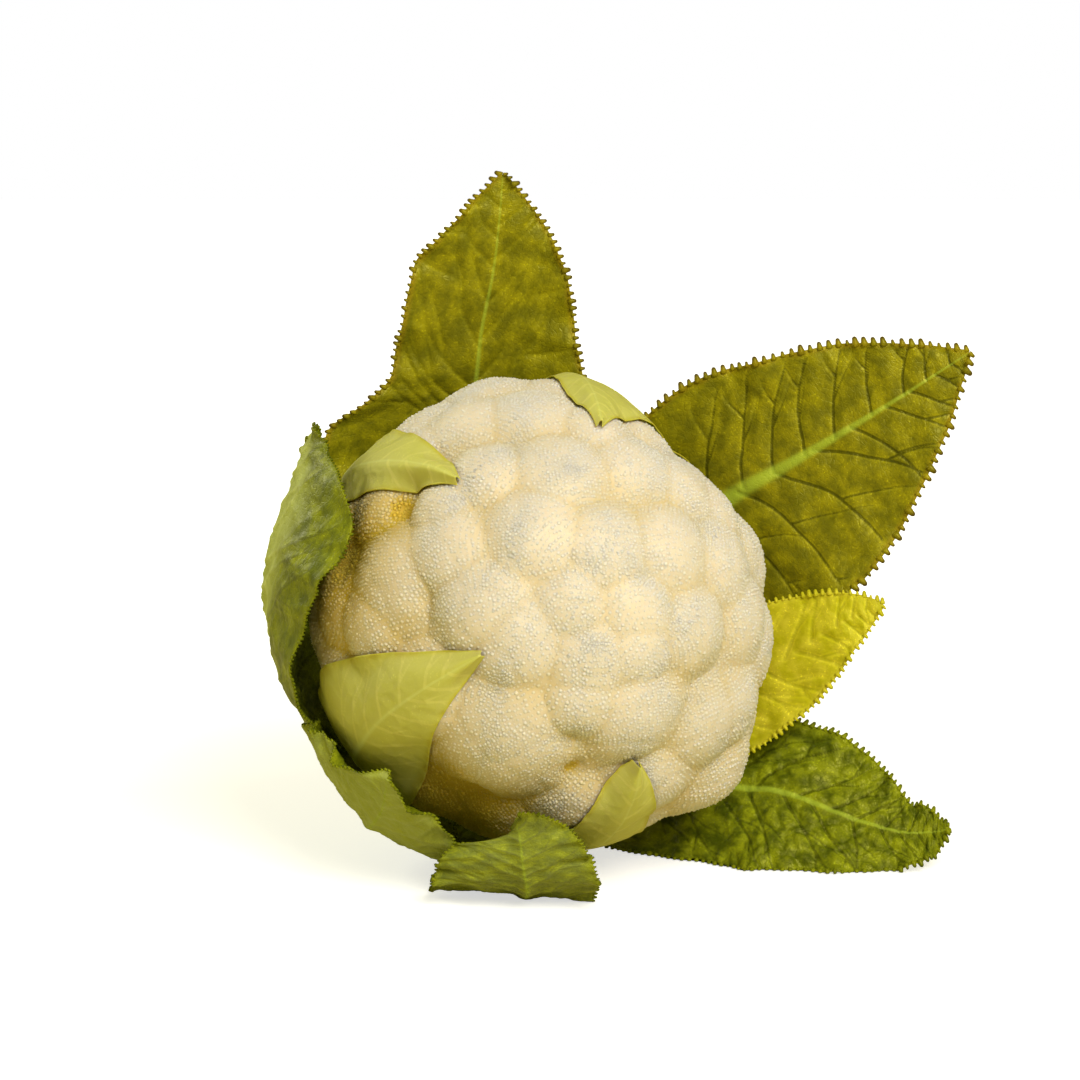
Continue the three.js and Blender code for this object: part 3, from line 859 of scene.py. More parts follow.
class CAULI_OT_stalk(bpy.types.Operator):
    """Builds the cut stalk with its fibrous side, leaf scars and cut face"""

    bl_idname = "cauli.stalk"
    bl_label = "Stalk"

    def execute(self, context):
        settings = context.scene.cauli_stalk
        around, steps, rings = 112, 64, 14
        turn = np.linspace(0.0, math.tau, around, endpoint=False)
        height = np.linspace(0.0, STALK_LENGTH, steps)
        turns, heights = np.meshgrid(turn, height)
        radius = stalk_radius(heights)
        fluting = np.sin(turns * 17.0 + 0.06 * heights)
        radius += 0.32 * fluting * (0.4 + 0.6 * np.sin(turns * 3.0) ** 2)
        radius += 0.35 * ripples(turns * STALK_RADIUS, heights, 9.0, 4)
        for scar in range(8):
            at, up = scar * GOLDEN_ANGLE, 22.0 + 2.7 * scar
            off = (np.angle(np.exp(1j * (turns - at))) * STALK_RADIUS) ** 2 / 34.0
            band = np.exp(-off) * np.exp(-((heights - up) / 1.5) ** 2)
            radius += 0.9 * band
        radius = np.minimum(radius, STALK_RADIUS + 1.4)
        side = np.stack([radius * np.cos(turns), radius * np.sin(turns), heights], axis=-1)
        ring = np.linspace(1.0, 0.0, rings + 1)[1:-1]
        last = radius[-1]
        face = np.stack([
            ring[:, None] * last * np.cos(turn), ring[:, None] * last * np.sin(turn),
            STALK_LENGTH + 0.25 * ripples(ring[:, None] * last * np.cos(turn),
                                          ring[:, None] * last * np.sin(turn), 7.0, 9)], axis=-1)
        grid = np.concatenate([side, face]).reshape(-1, 3)
        rows = steps + rings - 1
        middle_top = [[0.0, 0.0, STALK_LENGTH]]
        middle_low = [[0.0, 0.0, 0.0]]
        local = np.concatenate([grid, middle_top, middle_low])
        quads = grid_faces(rows, around, closed=True).tolist()
        top, low = rows * around, rows * around + 1
        rim = (rows - 1) * around
        fans = [[rim + i, rim + (i + 1) % around, top] for i in range(around)]
        fans += [[(i + 1) % around, i, low] for i in range(around)]
        start = UNDERSIDE_RADIUS + 0.4
        points = (local[:, :1] * ACROSS - local[:, 1:2] * UPWARD
                  - (local[:, 2:] + start) * FACING)
        stalk = new_piece("stalk_stem", points, quads + fans, self.material(settings))
        mesh = stalk.data
        form = bmesh.new()
        form.from_mesh(mesh)
        bmesh.ops.recalc_face_normals(form, faces=form.faces)
        form.to_mesh(mesh)
        form.free()
        cut = smoothstep(local[:, 2], STALK_LENGTH - 0.9, STALK_LENGTH - 0.2)
        set_values(stalk, "cut", cut)
        set_values(stalk, "out", np.hypot(local[:, 0], local[:, 1]) / STALK_RADIUS)
        set_uv(stalk, "Side", np.stack(
            [np.arctan2(local[:, 1], local[:, 0]) * 0.017, local[:, 2] * MM], axis=1))
        finished(stalk, "stalk")
        return {"FINISHED"}

    def material(self, settings):
        material, tree, shader = principled("Stalk Skin", 0.5, Subsurface_Weight=0.12,
                                            Subsurface_Scale=0.001)
        shader.inputs["Subsurface Radius"].default_value = (2.0, 2.0, 0.8)
        place = object_coordinates(tree)
        stretch = tree.nodes.new("ShaderNodeMapping")
        tree.links.new(place, stretch.inputs["Vector"])
        stretch.inputs["Scale"].default_value = (420.0, 60.0, 420.0)
        fibre = noise(tree, stretch.outputs["Vector"], 1.0, 3.0).outputs["Fac"]
        out = attribute(tree, "out")
        ring = math_node(tree, "MULTIPLY", ramp(tree, out, 0.66, 0.76), ramp(
            tree, out, 0.80, 0.90, 1.0, 0.0))
        cut = mix(tree, ring, settings.cut, settings.ring)
        cut = mix(tree, ramp(tree, noise(tree, place, 260.0, 3.0).outputs["Fac"], 0.4, 0.7, 0.0,
                             0.5), cut, settings.ring)
        side = mix(tree, ramp(tree, fibre, 0.35, 0.7, 0.0, 0.6), settings.skin, (0.72, 0.72, 0.45))
        tree.links.new(mix(tree, attribute(tree, "cut"), side, cut), shader.inputs["Base Color"])
        bump(tree, shader, fibre, 0.5, 0.0006)
        return material


# ---- leaves ------------------------------------------------------------------------------------

CENTRE = (0.0, 0.0, 0.0)
VIEWER = (30.0, -400.0, 120.0)

# The middle line of every leaf, base to tip. A spread leaf gives x, y, z; a pressed leaf gives
# degrees away from the crown, degrees round it and distance out. Then come the half-widths left
# and right of the midrib, and for a spread leaf how sharply it is cupped, one over its radius.
LEAVES = {}


def spread_leaf(name, finish, faces, rows, **extras):
    """Adds a leaf that stands away from the curd."""
    LEAVES[name] = dict(finish=finish, faces=faces, rows=rows, pressed=False, **extras)


def pressed_leaf(name, rows, **extras):
    """Adds an inner leaf that lies against the curd."""
    LEAVES[name] = dict(finish="inner", faces=CENTRE, rows=rows, pressed=True, **extras)


spread_leaf("top_leaf", "outer", VIEWER, [
    (-17, 66, 6, 6, 6, 0.03), (-20, 64, 24, 16, 17, 0.012), (-22, 56, 42, 44, 28, 0.012),
    (-22, 48, 57, 49, 35, 0.009), (-21, 43, 66, 29, 36, 0.008), (-19, 39, 84, 26, 31, 0.007),
    (-15, 35, 104, 24, 24, 0.007), (-13, 32, 121, 12, 13, 0.006), (-12, 33, 134, 1, 1, 0),
], teeth=0.85, ruffle=1.6, waves=5, seed=1, rib=0.4, quilt=0.05, grid=0.84, spacing=1.15,
    veining=0.5, turn=(26.0, 26.0))
spread_leaf("right_leaf", "outer", VIEWER, [
    (5, 71, -12, 6, 6, 0.03), (28, 64, 2, 18, 18, 0.014), (48, 50, 20, 34, 30, 0.008),
    (64, 38, 33, 38, 42, 0.006), (80, 32, 43, 35, 45, 0.006), (97, 27, 54, 29, 35, 0.006),
    (112, 23, 64, 21, 23, 0.006), (125, 20, 73, 10, 10, 0.004), (134, 19, 79, 1, 1, 0),
], teeth=1.0, ruffle=1.2, waves=4, seed=2, rib=1.35, quilt=0.1, grid=0.84,
    lean=(20.0, 50.0), turn=(34.0, -36.0), spacing=1.25)
spread_leaf("right_inner_leaf", "yellow", VIEWER, [
    (4, 62, -26, 5, 5, 0.03), (24, 54, -38, 12, 12, 0.02), (44, 42, -38, 18, 18, 0.012),
    (60, 30, -30, 23, 22, 0.01), (75, 20, -20, 21, 18, 0.01), (90, 12, -8, 13, 12, 0.008),
    (100, 9, -2, 7, 6, 0.006), (107, 8, 1, 1, 1, 0),
], teeth=0.75, ruffle=0.8, waves=4, seed=3, rib=0.4, quilt=0.15)
spread_leaf("lower_right_leaf", "green", (80.0, -300.0, 160.0), [
    (-3, 67, -36, 6, 6, 0.03), (16, 57, -54, 18, 18, 0.014), (36, 40, -62, 25, 27, 0.006),
    (56, 26, -61, 27, 31, 0.003), (76, 14, -60, 25, 31, 0.002), (96, 6, -66, 22, 22, 0.004),
    (112, 2, -70, 12, 14, 0.006), (122, 1, -70, 8, 8, 0.006), (128, 0, -69, 1, 1, 0),
], teeth=0.8, ruffle=1.6, waves=6, seed=4, rib=0.55, quilt=0.7, grid=0.9)
spread_leaf("lower_left_leaf", "green", CENTRE, [
    (-32, 64, -30, 6, 6, 0.03), (-45, 50, -46, 15, 13, 0.016), (-51, 27, -59, 24, 18, 0.0155),
    (-53, 0, -65, 32, 34, 0.018), (-51, -25, -61, 34, 36, 0.019), (-47, -43, -52, 23, 26, 0.016),
    (-45, -55, -41, 1, 1, 0),
], teeth=0.5, ruffle=2.0, waves=6, seed=5, rib=0.5, pale=0.55)
spread_leaf("left_leaf", "green", CENTRE, [
    (-38, 62, -12, 6, 6, 0.03), (-58, 50, -13, 22, 12, 0.016), (-75, 31, -10, 41, 22, 0.014),
    (-83, 13, -4, 44, 28, 0.016), (-84, 1, 9, 37, 30, 0.018), (-81, -4, 25, 42, 26, 0.02),
    (-76, -5, 40, 42, 16, 0.022), (-72, -3, 51, 18, 7, 0.02), (-69, 0, 58, 1, 1, 0),
], teeth=0.5, ruffle=1.6, waves=6, seed=6, rib=0.6, pale=0.9, green_side=-1.0)
spread_leaf("bottom_leaf", "green", CENTRE, [
    (-18, 60, -37, 6, 6, 0.03), (-15, 46, -64, 15, 18, 0.012), (-9, 20, -78.6, 20, 23, 0.002),
    (-6, -10, -80, 21, 25, 0.001), (-5, -37, -79.4, 20, 28, 0.001),
    (-4, -53, -74, 21, 28, 0.004), (-5, -60, -66, 20, 26, 0.007), (-6, -61, -57, 15, 19, 0.009),
    (-7, -58, -52, 1, 1, 0),
], teeth=0.5, ruffle=1.6, waves=7, seed=7, rib=0.6, pale=0.2)
pressed_leaf("upper_left_bract", [
    (159, 140, 57.5, 5, 5), (140, 141, 60, 8, 8), (122, 142, 66, 11, 12), (103, 143, 73, 13, 16),
    (84, 142, HUG, 12, 18), (67, 139, HUG, 9, 13), (53, 136, HUG, 5, 7), (44, 135, HUG, 1, 1),
], seed=8, rib=0.35)
pressed_leaf("upper_right_bract", [
    (159, 84, 57.5, 5, 5), (140, 82, 60, 8, 8), (122, 80, 66, 9, 13), (102, 80, 73, 10, 22),
    (88, 80, HUG, 9, 36), (76, 80, HUG, 8, 47), (65, 80, HUG, 7, 26), (55, 80, HUG, 4, 10),
    (46, 80, HUG, 1, 1),
], seed=9, rib=0.2)
pressed_leaf("lower_left_bract", [
    (159, -142, 57.5, 5, 5), (140, -142, 60, 9, 9), (122, -142, 66, 15, 15),
    (102, -143, 73, 21, 22), (82, -147, HUG, 22, 28), (64, -151, HUG, 17, 21),
    (47, -153, HUG, 9, 11), (31, -154, HUG, 1, 1),
], seed=10, rib=0.8, shaded=0.95)
pressed_leaf("bottom_bract", [
    (159, -88, 57.5, 5, 5), (140, -87, 60, 8, 8), (122, -86, 66, 11, 11), (104, -84, 73, 14, 14),
    (86, -82, HUG, 15, 15), (68, -79, HUG, 13, 13), (55, -76, HUG, 7, 8), (46, -74, HUG, 1, 1),
], seed=11, rib=0.3)

MARGIN_TINT = 0.55
VEIN_WIDTH = 1.3


def curve_through(values, place):
    """A smooth curve through rows of values, read at places from 0 to 1."""
    values = np.asarray(values, float)
    last = len(values) - 1
    scaled = np.clip(place, 0.0, 1.0) * last
    index = np.minimum(scaled.astype(int), last - 1)
    t = scaled - index
    if values.ndim > 1:
        t = t[:, None]
    b, c = values[index], values[index + 1]
    first, final = index > 0, index + 2 <= last
    if values.ndim > 1:
        first, final = first[:, None], final[:, None]
    a = np.where(first, values[np.maximum(index - 1, 0)], 2.0 * b - c)
    d = np.where(final, values[np.minimum(index + 2, last)], 2.0 * c - b)
    bend = 2.0 * a - 5.0 * b + 4.0 * c - d + t * (3.0 * b - a - 3.0 * c + d)
    return b + 0.5 * t * (c - a + t * bend)


class Blade:
    """The middle surface of one leaf on a grid: places down it, shares across it."""

    def __init__(self, leaf, grid):
        self.pressed = leaf["pressed"]
        rows = np.array(leaf["rows"], float)
        spine = on_head(rows[:, 0], rows[:, 1], rows[:, 2]) if leaf["pressed"] else rows[:, :3]
        fine = curve_through(spine, np.linspace(0.0, 1.0, 200))
        self.total = np.linalg.norm(np.diff(fine, axis=0), axis=1).sum()
        widest = (rows[:, 3] + rows[:, 4]).max()
        self.rows = max(24, int(self.total / grid))
        self.columns = max(15, int(widest / grid)) | 1
        place = np.linspace(0.0, 1.0, self.rows)
        self.point = curve_through(spine, place)
        step = 0.004
        ahead = curve_through(spine, np.minimum(1.0, place + step))
        behind = curve_through(spine, np.maximum(0.0, place - step))
        self.forward = unit(ahead - behind)
        face = np.array(CENTRE if leaf["pressed"] else leaf["faces"]) - self.point
        face -= (face * self.forward).sum(axis=1, keepdims=True) * self.forward
        self.face = unit(face)
        self.side = np.cross(self.forward, self.face)
        self.place = place[:, None] * np.ones(self.columns)
        self.share = np.ones((self.rows, 1)) * np.linspace(-1.0, 1.0, self.columns)
        left = np.maximum(0.5, curve_through(rows[:, 3], place))[:, None]
        right = np.maximum(0.5, curve_through(rows[:, 4], place))[:, None]
        self.half = np.where(self.share < 0.0, left, right)
        if leaf["pressed"]:
            self.cup = 1.0 / np.linalg.norm(self.point, axis=1)[:, None]
        else:
            self.cup = curve_through(rows[:, 5], place)[:, None]
        self.down = place[:, None] * self.total * np.ones(self.columns)
        self.reach = self.share * self.half

    def surface(self, lift):
        """Points of the blade, lifted off its middle surface, with its normals."""
        cup = np.where(np.abs(self.cup) < 1e-5, 1e-5, self.cup)
        angle = self.reach * cup
        sideways = (np.sin(angle) / cup)[..., None]
        rise = ((1.0 - np.cos(angle)) / cup)[..., None]
        side, face = self.side[:, None, :], self.face[:, None, :]
        points = self.point[:, None, :] + side * sideways + face * rise
        if self.pressed:
            outwards = unit(points)
            points = points + outwards * bumps(outwards, SWELLINGS)[..., None]
        normals = face * np.cos(angle)[..., None] - side * np.sin(angle)[..., None]
        self.outward = unit(
            (side * np.cos(angle)[..., None] + face * np.sin(angle)[..., None])
            * np.sign(self.share + 1e-9)[..., None] + 0.35 * self.forward[:, None, :])
        return points + normals * lift[..., None], normals


def vein_paths(blade, leaf, spacing):
    """Side veins and their forks as straight pieces: two ends and a strength."""
    chance = np.random.default_rng(leaf["seed"] + 40)
    lean = leaf.get("lean", (40.0, 40.0))
    turn = leaf.get("turn", (6.0, 6.0))
    pieces = []

    def run(start, heading, far, bend, strength):
        """One vein, walked step by step from its start; heading is down per unit outwards."""
        steps = max(4, int(far / 1.6))
        spot, angle = np.array(start, float), heading
        spots = [spot]
        for _ in range(steps):
            angle += bend / steps + chance.normal(0.0, 0.045)
            spot = spot + far / steps * np.array([math.cos(angle), math.sin(angle)])
            spots.append(spot)
        fade = np.linspace(1.0, 0.45, steps)
        for a, b, left in zip(spots[:-1], spots[1:], fade):
            pieces.append((*a, *b, strength * left))
        return spots

    for hand in (-1.0, 1.0):
        first = len(pieces)
        start = spacing * chance.uniform(0.5, 1.1)
        while start < 0.95 * blade.total:
            row = min(blade.rows - 1, int(start / blade.total * (blade.rows - 1)))
            room = blade.half[row, 0 if hand < 0.0 else -1]
            which = 0 if hand < 0.0 else 1
            heading = math.radians(lean[which] + chance.uniform(-7.0, 7.0))
            far = 1.02 * room / math.cos(heading) * 0.95
            spots = run((0.0, start), heading, far,
                        math.radians(turn[which] + chance.uniform(-8.0, 8.0)), 1.0)
            for share, swing in ((0.38, 32.0), (0.62, -34.0), (0.8, 26.0)):
                spot = spots[int(share * (len(spots) - 1))]
                bend = heading + math.radians(swing * chance.uniform(0.8, 1.25))
                run(spot, bend, far * (1.02 - share) * chance.uniform(0.6, 0.9),
                    math.radians(-swing * 0.5), 0.66)
            start += spacing * chance.uniform(0.8, 1.25) * (1.0 - 0.35 * start / blade.total)
        for i in range(first, len(pieces)):
            ax, ay, bx, by, strength = pieces[i]
            pieces[i] = (hand * ax, ay, hand * bx, by, strength)
    return np.array(pieces)


def side_veins(blade, leaf, spacing):
    """How close each point is to a side vein, 0 to 1, and the swelling between the veins."""
    pieces = vein_paths(blade, leaf, spacing)
    points = np.stack([blade.reach.ravel(), blade.down.ravel()], axis=1)
    vein = np.zeros(len(points))
    near = np.full(len(points), 99.0)
    for ax, ay, bx, by, strength in pieces:
        start, run = np.array([ax, ay]), np.array([bx - ax, by - ay])
        reachable = np.abs(points - start).max(axis=1) < 9.0
        local = points[reachable] - start
        share = np.clip(local @ run / (run @ run), 0.0, 1.0)
        off = np.hypot(*(local - share[:, None] * run).T)
        vein[reachable] = np.maximum(
            vein[reachable], (0.4 + 0.6 * strength) * np.clip(1.0 - off / VEIN_WIDTH, 0.0, 1.0))
        near[reachable] = np.minimum(near[reachable], off + 1.6 * (1.0 - strength))
    shape = blade.reach.shape
    inside = 1.0 - smoothstep(np.abs(blade.share), 0.90, 1.0)
    inside = inside * smoothstep(blade.place, 0.02, 0.10)
    vein, near = vein.reshape(shape) * inside, near.reshape(shape)
    return vein, (1.0 - np.exp(-((near / 2.8) ** 2))) * inside


def lie_on_curd(points, edge):
    """Brings the rims of a pressed leaf down onto the curd and keeps the rest clear of it."""
    radius = np.linalg.norm(points, axis=-1)
    directions = (points / radius[..., None]).reshape(-1, 3)
    away, _ = away_and_around(directions)
    resting = (curd_reach(directions, LOBE_HEIGHT)[0] + PRESSED_CLEARANCE).reshape(radius.shape)
    share = 1.0 - 0.9 * smoothstep(edge, 0.15, 1.0)
    laid = resting + np.maximum(radius - resting, 0.0) * share
    near = 1.0 - smoothstep(away, 92.0, 104.0).reshape(radius.shape)
    return points * ((radius + (laid - radius) * near) / radius)[..., None]


def both(values):
    """Values of the grid given to the upper and to the lower side of a blade."""
    return np.concatenate([values.ravel(), values.ravel()])


def blade_lift(blade, leaf, pucker, bulge):
    """How far a blade rises off its middle surface: ruffles, puckers and quilting."""
    edge = np.abs(blade.share)
    seed = leaf["seed"]
    beat = math.tau * leaf.get("waves", 3) * blade.place + np.where(blade.share < 0.0, 0.0, 2.1)
    lift = leaf.get("ruffle", 0.25) * edge**3 * (np.sin(beat) + 0.5 * np.sin(2.3 * beat + seed))
    lift *= smoothstep(blade.place, 0.1, 0.3)
    lift += 0.35 * pucker * ripples(blade.reach, blade.down, 13.0, seed)
    lift += 0.55 * pucker * (bulge - 0.5)
    wander = 1.3 * ripples(blade.reach, blade.down, 9.0, seed + 70)
    gaps = cell_gaps(blade.reach + wander, blade.down + 0.8 * wander, 5.4, seed)
    quilt = smoothstep(gaps, 0.0, 2.4) * smoothstep(np.abs(blade.reach), 0.5, 3.5)
    lift += leaf.get("quilt", 0.2) * (quilt - 0.5) * (1.0 - smoothstep(edge, 0.93, 1.0))
    return np.clip(lift, -0.35, 0.6) if leaf["pressed"] else lift


def leaf_mesh(name, leaf, settings, material):
    """The blade of a leaf as a closed skin, with the values its material and its teeth read."""
    blade = Blade(leaf, settings.grid / MM * leaf.get("grid", 1.0))
    thickness = settings.thickness / MM * (0.6 if leaf["pressed"] else 1.0)
    vein, bulge = side_veins(blade, leaf, settings.vein_spacing / MM * leaf.get("spacing", 1.0))
    pressed = leaf["pressed"]
    pucker = settings.pucker / MM * (0.25 if pressed else 1.0)
    edge = np.abs(blade.share)
    taper = np.clip(1.0 - blade.place * 1.02, 0.0, 1.0)
    thin = thickness * (1.0 - 0.45 * edge**6)
    rib_under = 5.0 * np.minimum(1.0, taper**1.6 + 0.03) * np.exp(
        -((blade.reach / (1.4 + 3.0 * taper)) ** 2))
    rib_width = 0.3 + 4.5 * leaf["rib"] * taper**2
    rib_over = 0.8 * leaf["rib"] * taper**0.6 * np.exp(-((blade.reach / (0.7 + rib_width)) ** 2))
    upper, normals = blade.surface(blade_lift(blade, leaf, pucker, bulge))
    if pressed:
        upper = lie_on_curd(upper, edge)
    over = thin / 2.0 + rib_over - 0.55 * pucker * smoothstep(vein, 0.1, 1.0)
    below = thin / 2.0 + rib_under + 0.45 * pucker * vein
    if pressed:
        below = thin / 2.0 + 0.12 * rib_under
    top = upper + normals * over[..., None]
    low = upper - normals * below[..., None]
    count = blade.rows * blade.columns
    faces = [grid_faces(blade.rows, blade.columns)]
    faces.append(grid_faces(blade.rows, blade.columns, start=count, flip=True))
    rim = rim_loop(blade.rows, blade.columns)
    nxt = np.roll(rim, -1)
    faces.append(np.stack([rim, nxt, nxt + count, rim + count], axis=1)[:, ::-1])
    points = np.concatenate([top.reshape(-1, 3), low.reshape(-1, 3)])
    piece = new_piece(name, points, np.concatenate(faces), material)
    # the underside's pale sage is partly its own paler colour and partly painted sheen of glancing
    # light; on the side named by green_side and near the margins it gives way to the upper face's
    # green
    green = smoothstep(blade.share * leaf.get("green_side", 0.0), 0.2, 0.6)
    pale = leaf.get("pale", 1.0) * (1.0 - 0.9 * green) * (1.0 - 0.6 * smoothstep(edge, 0.8, 1.0))
    set_values(piece, "under", np.concatenate([np.zeros(count), pale.ravel()]))
    set_values(piece, "vein", both(vein * leaf.get("veining", 1.0)))
    set_values(piece, "rib", both(np.exp(-((blade.reach / rib_width) ** 4))
                                  * (0.25 + 0.75 * taper**0.5) * min(1.0, 0.5 + leaf["rib"])))
    margin = 1.0 - smoothstep(blade.half - np.abs(blade.reach), 0.0, 7.0 if pressed else 2.6)
    if pressed:
        # painted shade near the base of a pressed leaf, carried in the same mask as the margin tint
        painted_base_shade = leaf.get("shaded", 0.35) * (1.0 - smoothstep(blade.place, 0.50, 0.68))
        margin = np.maximum(0.8 * margin, painted_base_shade)
    set_values(piece, "edge", both(margin * (1.0 if pressed else MARGIN_TINT)))
    set_values(piece, "tip", np.zeros(2 * count))
    set_vectors(piece, "outward", np.concatenate([blade.outward.reshape(-1, 3)] * 2))
    set_uv(piece, "Blade", np.stack([both(blade.reach + leaf["seed"] * 90.0) * 0.01,
                                     both(blade.down) * 0.01], axis=1))
    mark_margin(piece, blade)
    return piece


def rim_loop(rows, columns):
    """Indices round the edge of a grid."""
    first = np.arange(columns)
    right = np.arange(1, rows) * columns + columns - 1
    last = (rows - 1) * columns + np.arange(columns - 2, -1, -1)
    left = np.arange(rows - 2, 0, -1) * columns
    return np.concatenate([first, right, last, left])


def mark_margin(piece, blade):
    """Marks the edges of the upper margin that carry teeth."""
    rim = rim_loop(blade.rows, blade.columns)
    places = blade.place.ravel()
    edges = np.zeros(len(piece.data.edges) * 2, np.int32)
    piece.data.edges.foreach_get("vertices", edges)
    edges = edges.reshape(-1, 2)
    on_rim = np.zeros(len(piece.data.vertices), bool)
    on_rim[rim] = places[rim] > TEETH_START
    column = edges % blade.columns
    row = edges // blade.columns
    ends = (column == 0).all(axis=1) | (column == blade.columns - 1).all(axis=1)
    ends |= (row == blade.rows - 1).all(axis=1)
    layer = piece.data.attributes.new("margin_edge", "BOOLEAN", "EDGE")
    layer.data.foreach_set("value", on_rim[edges].all(axis=1) & ends)


def tooth_source(length_mm):
    """One marginal tooth: a short blunt knob, brown at its end."""
    sides = 7
    profile = [(-0.5, 0.60), (0.0, 0.58), (0.4, 0.46), (0.8, 0.38), (1.02, 0.18)]
    turn = np.arange(sides) * math.tau / sides
    rings = [np.stack([radius * length_mm * np.cos(turn), radius * length_mm * np.sin(turn),
                       np.full(sides, height * length_mm)], axis=1) for height, radius in profile]
    points = np.concatenate(rings) * MM
    faces = grid_faces(len(profile), sides, closed=True).tolist()
    faces.append(list(range(sides))[::-1])
    faces.append([(len(profile) - 1) * sides + i for i in range(sides)])
    mesh = bpy.data.meshes.new("tooth")
    mesh.from_pydata(points.tolist(), [], faces)
    mesh.polygons.foreach_set("use_smooth", np.ones(len(mesh.polygons), bool))
    tooth = bpy.data.objects.new("tooth", mesh)
    set_values(tooth, "tip", np.repeat([0.0, 0.0, 0.15, 0.7, 1.0], sides))
    for name in ("under", "vein", "rib"):
        set_values(tooth, name, np.zeros(len(points)))
    set_values(tooth, "edge", np.full(len(points), 0.3))
    return tooth


class CAULI_OT_leaves(bpy.types.Operator):
    """Builds every leaf: the spread outer leaves with their teeth, and the pressed inner leaves"""

    bl_idname = "cauli.leaves"
    bl_label = "Leaves"

    def execute(self, context):
        settings = context.scene.cauli_leaf
        finishes = self.finishes(settings)
        tree = teeth_tree()
        tooth = tooth_source(settings.tooth_length / MM)
        for name, leaf in LEAVES.items():
            material = finishes[leaf["finish"]]
            piece = leaf_mesh(name + "_blade", leaf, settings, material)
            if leaf.get("teeth"):
                run_tree(piece, tree, Copy_Of=tooth, Material=material, Size=leaf["teeth"],
                         Spread=0.32, Seed=leaf["seed"],
                         Pitch=settings.tooth_pitch * leaf["teeth"])
            self.clear_of_the_rest(piece)
            finished(piece, name)
        return {"FINISHED"}

    def clear_of_the_rest(self, piece):
        """Nothing of a leaf goes below the surface it lies on."""
        points = np.zeros(len(piece.data.vertices) * 3, np.float32)
        piece.data.vertices.foreach_get("co", points)
        points[2::3] = np.maximum(points[2::3], 0.0)
        piece.data.vertices.foreach_set("co", points)
        piece.data.update()

    def finishes(self, s):
        skin = leaf_skin_group()
        return {
            "outer": leaf_material(
                "Outer Leaf", skin, s.outer_deep, s.outer_bright, s.rib, s.sage, s.margin,
                s.tooth_tip, 0.9, 0.15, 0.5),
            "green": leaf_material(
                "Green Leaf", skin, s.green_deep, s.green_bright, s.rib, s.sage, s.green_bright,
                s.green_deep, 0.7, 0.15, 0.5),
            "yellow": leaf_material(
                "Yellow Leaf", skin, s.yellow_deep, s.yellow_bright, s.yellow_bright,
                s.inner_bright, s.yellow_bright, s.yellow_deep, 0.30, 0.3, 0.25),
            "inner": leaf_material(
                "Inner Leaf", skin, s.inner_deep, s.inner_bright, s.inner_rib,
                s.inner_bright, s.inner_margin_and_shade, s.tooth_tip, 0.12, 0.5, 0.12),
        }


# ---- the stage ---------------------------------------------------------------------------------


def area_light(name, place, aim, size, power, tint):
    """A square soft light at a place, turned to a point."""
    data = bpy.data.lights.new(name, "AREA")
    data.size = size
    data.energy = power
    data.color = tint
    lamp = bpy.data.objects.new(name, data)
    lamp.location = place
    lamp.rotation_euler = (Vector(aim) - Vector(place)).to_track_quat("-Z", "Y").to_euler()
    bpy.context.scene.collection.objects.link(lamp)


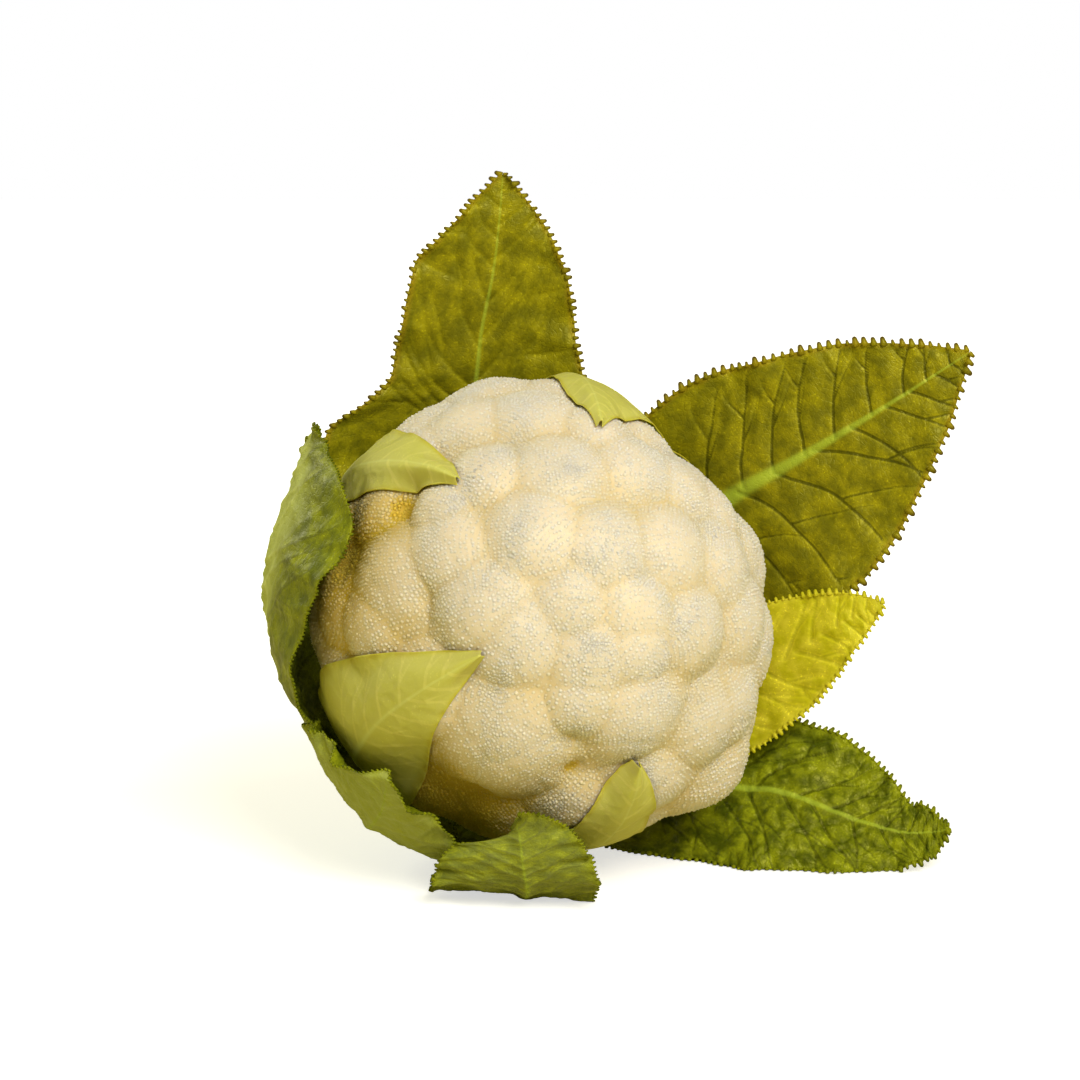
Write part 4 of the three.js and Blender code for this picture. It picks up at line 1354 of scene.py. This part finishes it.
class CAULI_OT_stage(bpy.types.Operator):
    """Sets the pale floor, the soft studio light and the camera"""

    bl_idname = "cauli.stage"
    bl_label = "Stage"

    def execute(self, context):
        settings = context.scene.cauli_stage
        scene = context.scene
        scene.view_settings.view_transform = "Standard"
        self.floor()
        self.world(scene, settings)
        aim = (0.0, 0.0, HEAD_HEIGHT * MM)
        area_light("key", (0.36, -0.94, 0.78), aim, settings.key_size, settings.key_power,
                   (1.0, 0.96, 0.90))
        area_light("rim", (-0.80, 0.45, 0.55), aim, settings.key_size, settings.key_power * 0.25,
                   (1.0, 1.0, 0.88))
        self.camera(scene, settings)
        return {"FINISHED"}

    def floor(self):
        mesh = bpy.data.meshes.new("floor")
        wide = FLOOR_HALF_WIDTH
        corners = [(-wide, -wide, 0), (wide, -wide, 0), (wide, wide, 0), (-wide, wide, 0)]
        mesh.from_pydata(corners, [], [[0, 1, 2, 3]])
        floor = bpy.data.objects.new("floor", mesh)
        floor.location.z = -FLOOR_DROP
        material, tree, shader = principled("Pale Floor", 0.85)
        away = tree.nodes.new("ShaderNodeVectorMath")
        away.operation = "LENGTH"
        tree.links.new(object_coordinates(tree), away.inputs[0])
        glow = ramp(tree, away.outputs["Value"], 0.12, 0.6, 0.62, 1.2)
        path = tree.nodes.new("ShaderNodeLightPath")
        seen = math_node(tree, "MULTIPLY", glow, path.outputs["Is Camera Ray"])
        tone = mix(tree, path.outputs["Is Camera Ray"], (0.70, 0.64, 0.30), (0.72, 0.72, 0.72))
        tree.links.new(tone, shader.inputs["Base Color"])
        shader.inputs["Emission Color"].default_value = (1.0, 1.0, 1.0, 1.0)
        tree.links.new(seen, shader.inputs["Emission Strength"])
        mesh.materials.append(material)
        bpy.context.scene.collection.objects.link(floor)

    def world(self, scene, settings):
        world = bpy.data.worlds.new("Soft Room")
        world.use_nodes = True
        tree = world.node_tree
        background = tree.nodes["Background"]
        background.inputs["Color"].default_value = (1.0, 0.88, 0.20, 1.0)
        background.inputs["Strength"].default_value = settings.sky
        seen = tree.nodes.new("ShaderNodeBackground")
        seen.inputs["Color"].default_value = (1.0, 1.0, 1.0, 1.0)
        path = tree.nodes.new("ShaderNodeLightPath")
        either = tree.nodes.new("ShaderNodeMixShader")
        link(tree, path, "Is Camera Ray", either, 0)
        link(tree, background, "Background", either, 1)
        link(tree, seen, "Background", either, 2)
        link(tree, either, "Shader", tree.nodes["World Output"], "Surface")
        scene.world = world

    def camera(self, scene, settings):
        data = bpy.data.cameras.new("camera")
        data.lens = settings.lens
        data.sensor_width = 36.0
        data.clip_start, data.clip_end = 0.05, 30.0
        camera = bpy.data.objects.new("camera", data)
        up = Vector((0.0, math.sin(settings.elevation), math.cos(settings.elevation)))
        ahead = Vector((0.0, math.cos(settings.elevation), -math.sin(settings.elevation)))
        middle = Vector((LOOK_SIDEWAYS * MM, 0.0, HEAD_HEIGHT * MM)) + up * LOOK_UP * MM
        camera.location = middle - ahead * settings.distance
        camera.rotation_euler = ahead.to_track_quat("-Z", "Y").to_euler()
        scene.collection.objects.link(camera)
        scene.camera = camera


# ---- panel, registration and main --------------------------------------------------------------

GROUPS = {
    "cauli_curd": CurdSettings,
    "cauli_stalk": StalkSettings,
    "cauli_leaf": LeafSettings,
    "cauli_stage": StageSettings,
}
OPERATORS = (CAULI_OT_curd, CAULI_OT_stalk, CAULI_OT_leaves, CAULI_OT_stage)


class CAULI_PT_panel(bpy.types.Panel):
    """Lists the steps of the cauliflower and their settings"""

    bl_label = "Cauliflower"
    bl_idname = "CAULI_PT_panel"
    bl_space_type = "VIEW_3D"
    bl_region_type = "UI"
    bl_category = "Cauliflower"

    def draw(self, context):
        for operator, group in zip(OPERATORS, GROUPS):
            box = self.layout.box()
            box.operator(operator.bl_idname)
            settings = getattr(context.scene, group)
            for name in settings.bl_rna.properties.keys():
                if name not in ("rna_type", "name"):
                    box.prop(settings, name)


CLASSES = (*GROUPS.values(), *OPERATORS, CAULI_PT_panel)


def register():
    for item in CLASSES:
        bpy.utils.register_class(item)
    for name, group in GROUPS.items():
        setattr(bpy.types.Scene, name, bpy.props.PointerProperty(type=group))


def unregister():
    for name in GROUPS:
        delattr(bpy.types.Scene, name)
    for item in reversed(CLASSES):
        bpy.utils.unregister_class(item)


def main():
    register()
    bpy.ops.cauli.curd()
    bpy.ops.cauli.stalk()
    bpy.ops.cauli.leaves()
    bpy.ops.cauli.stage()


if __name__ == "__main__":
    main()
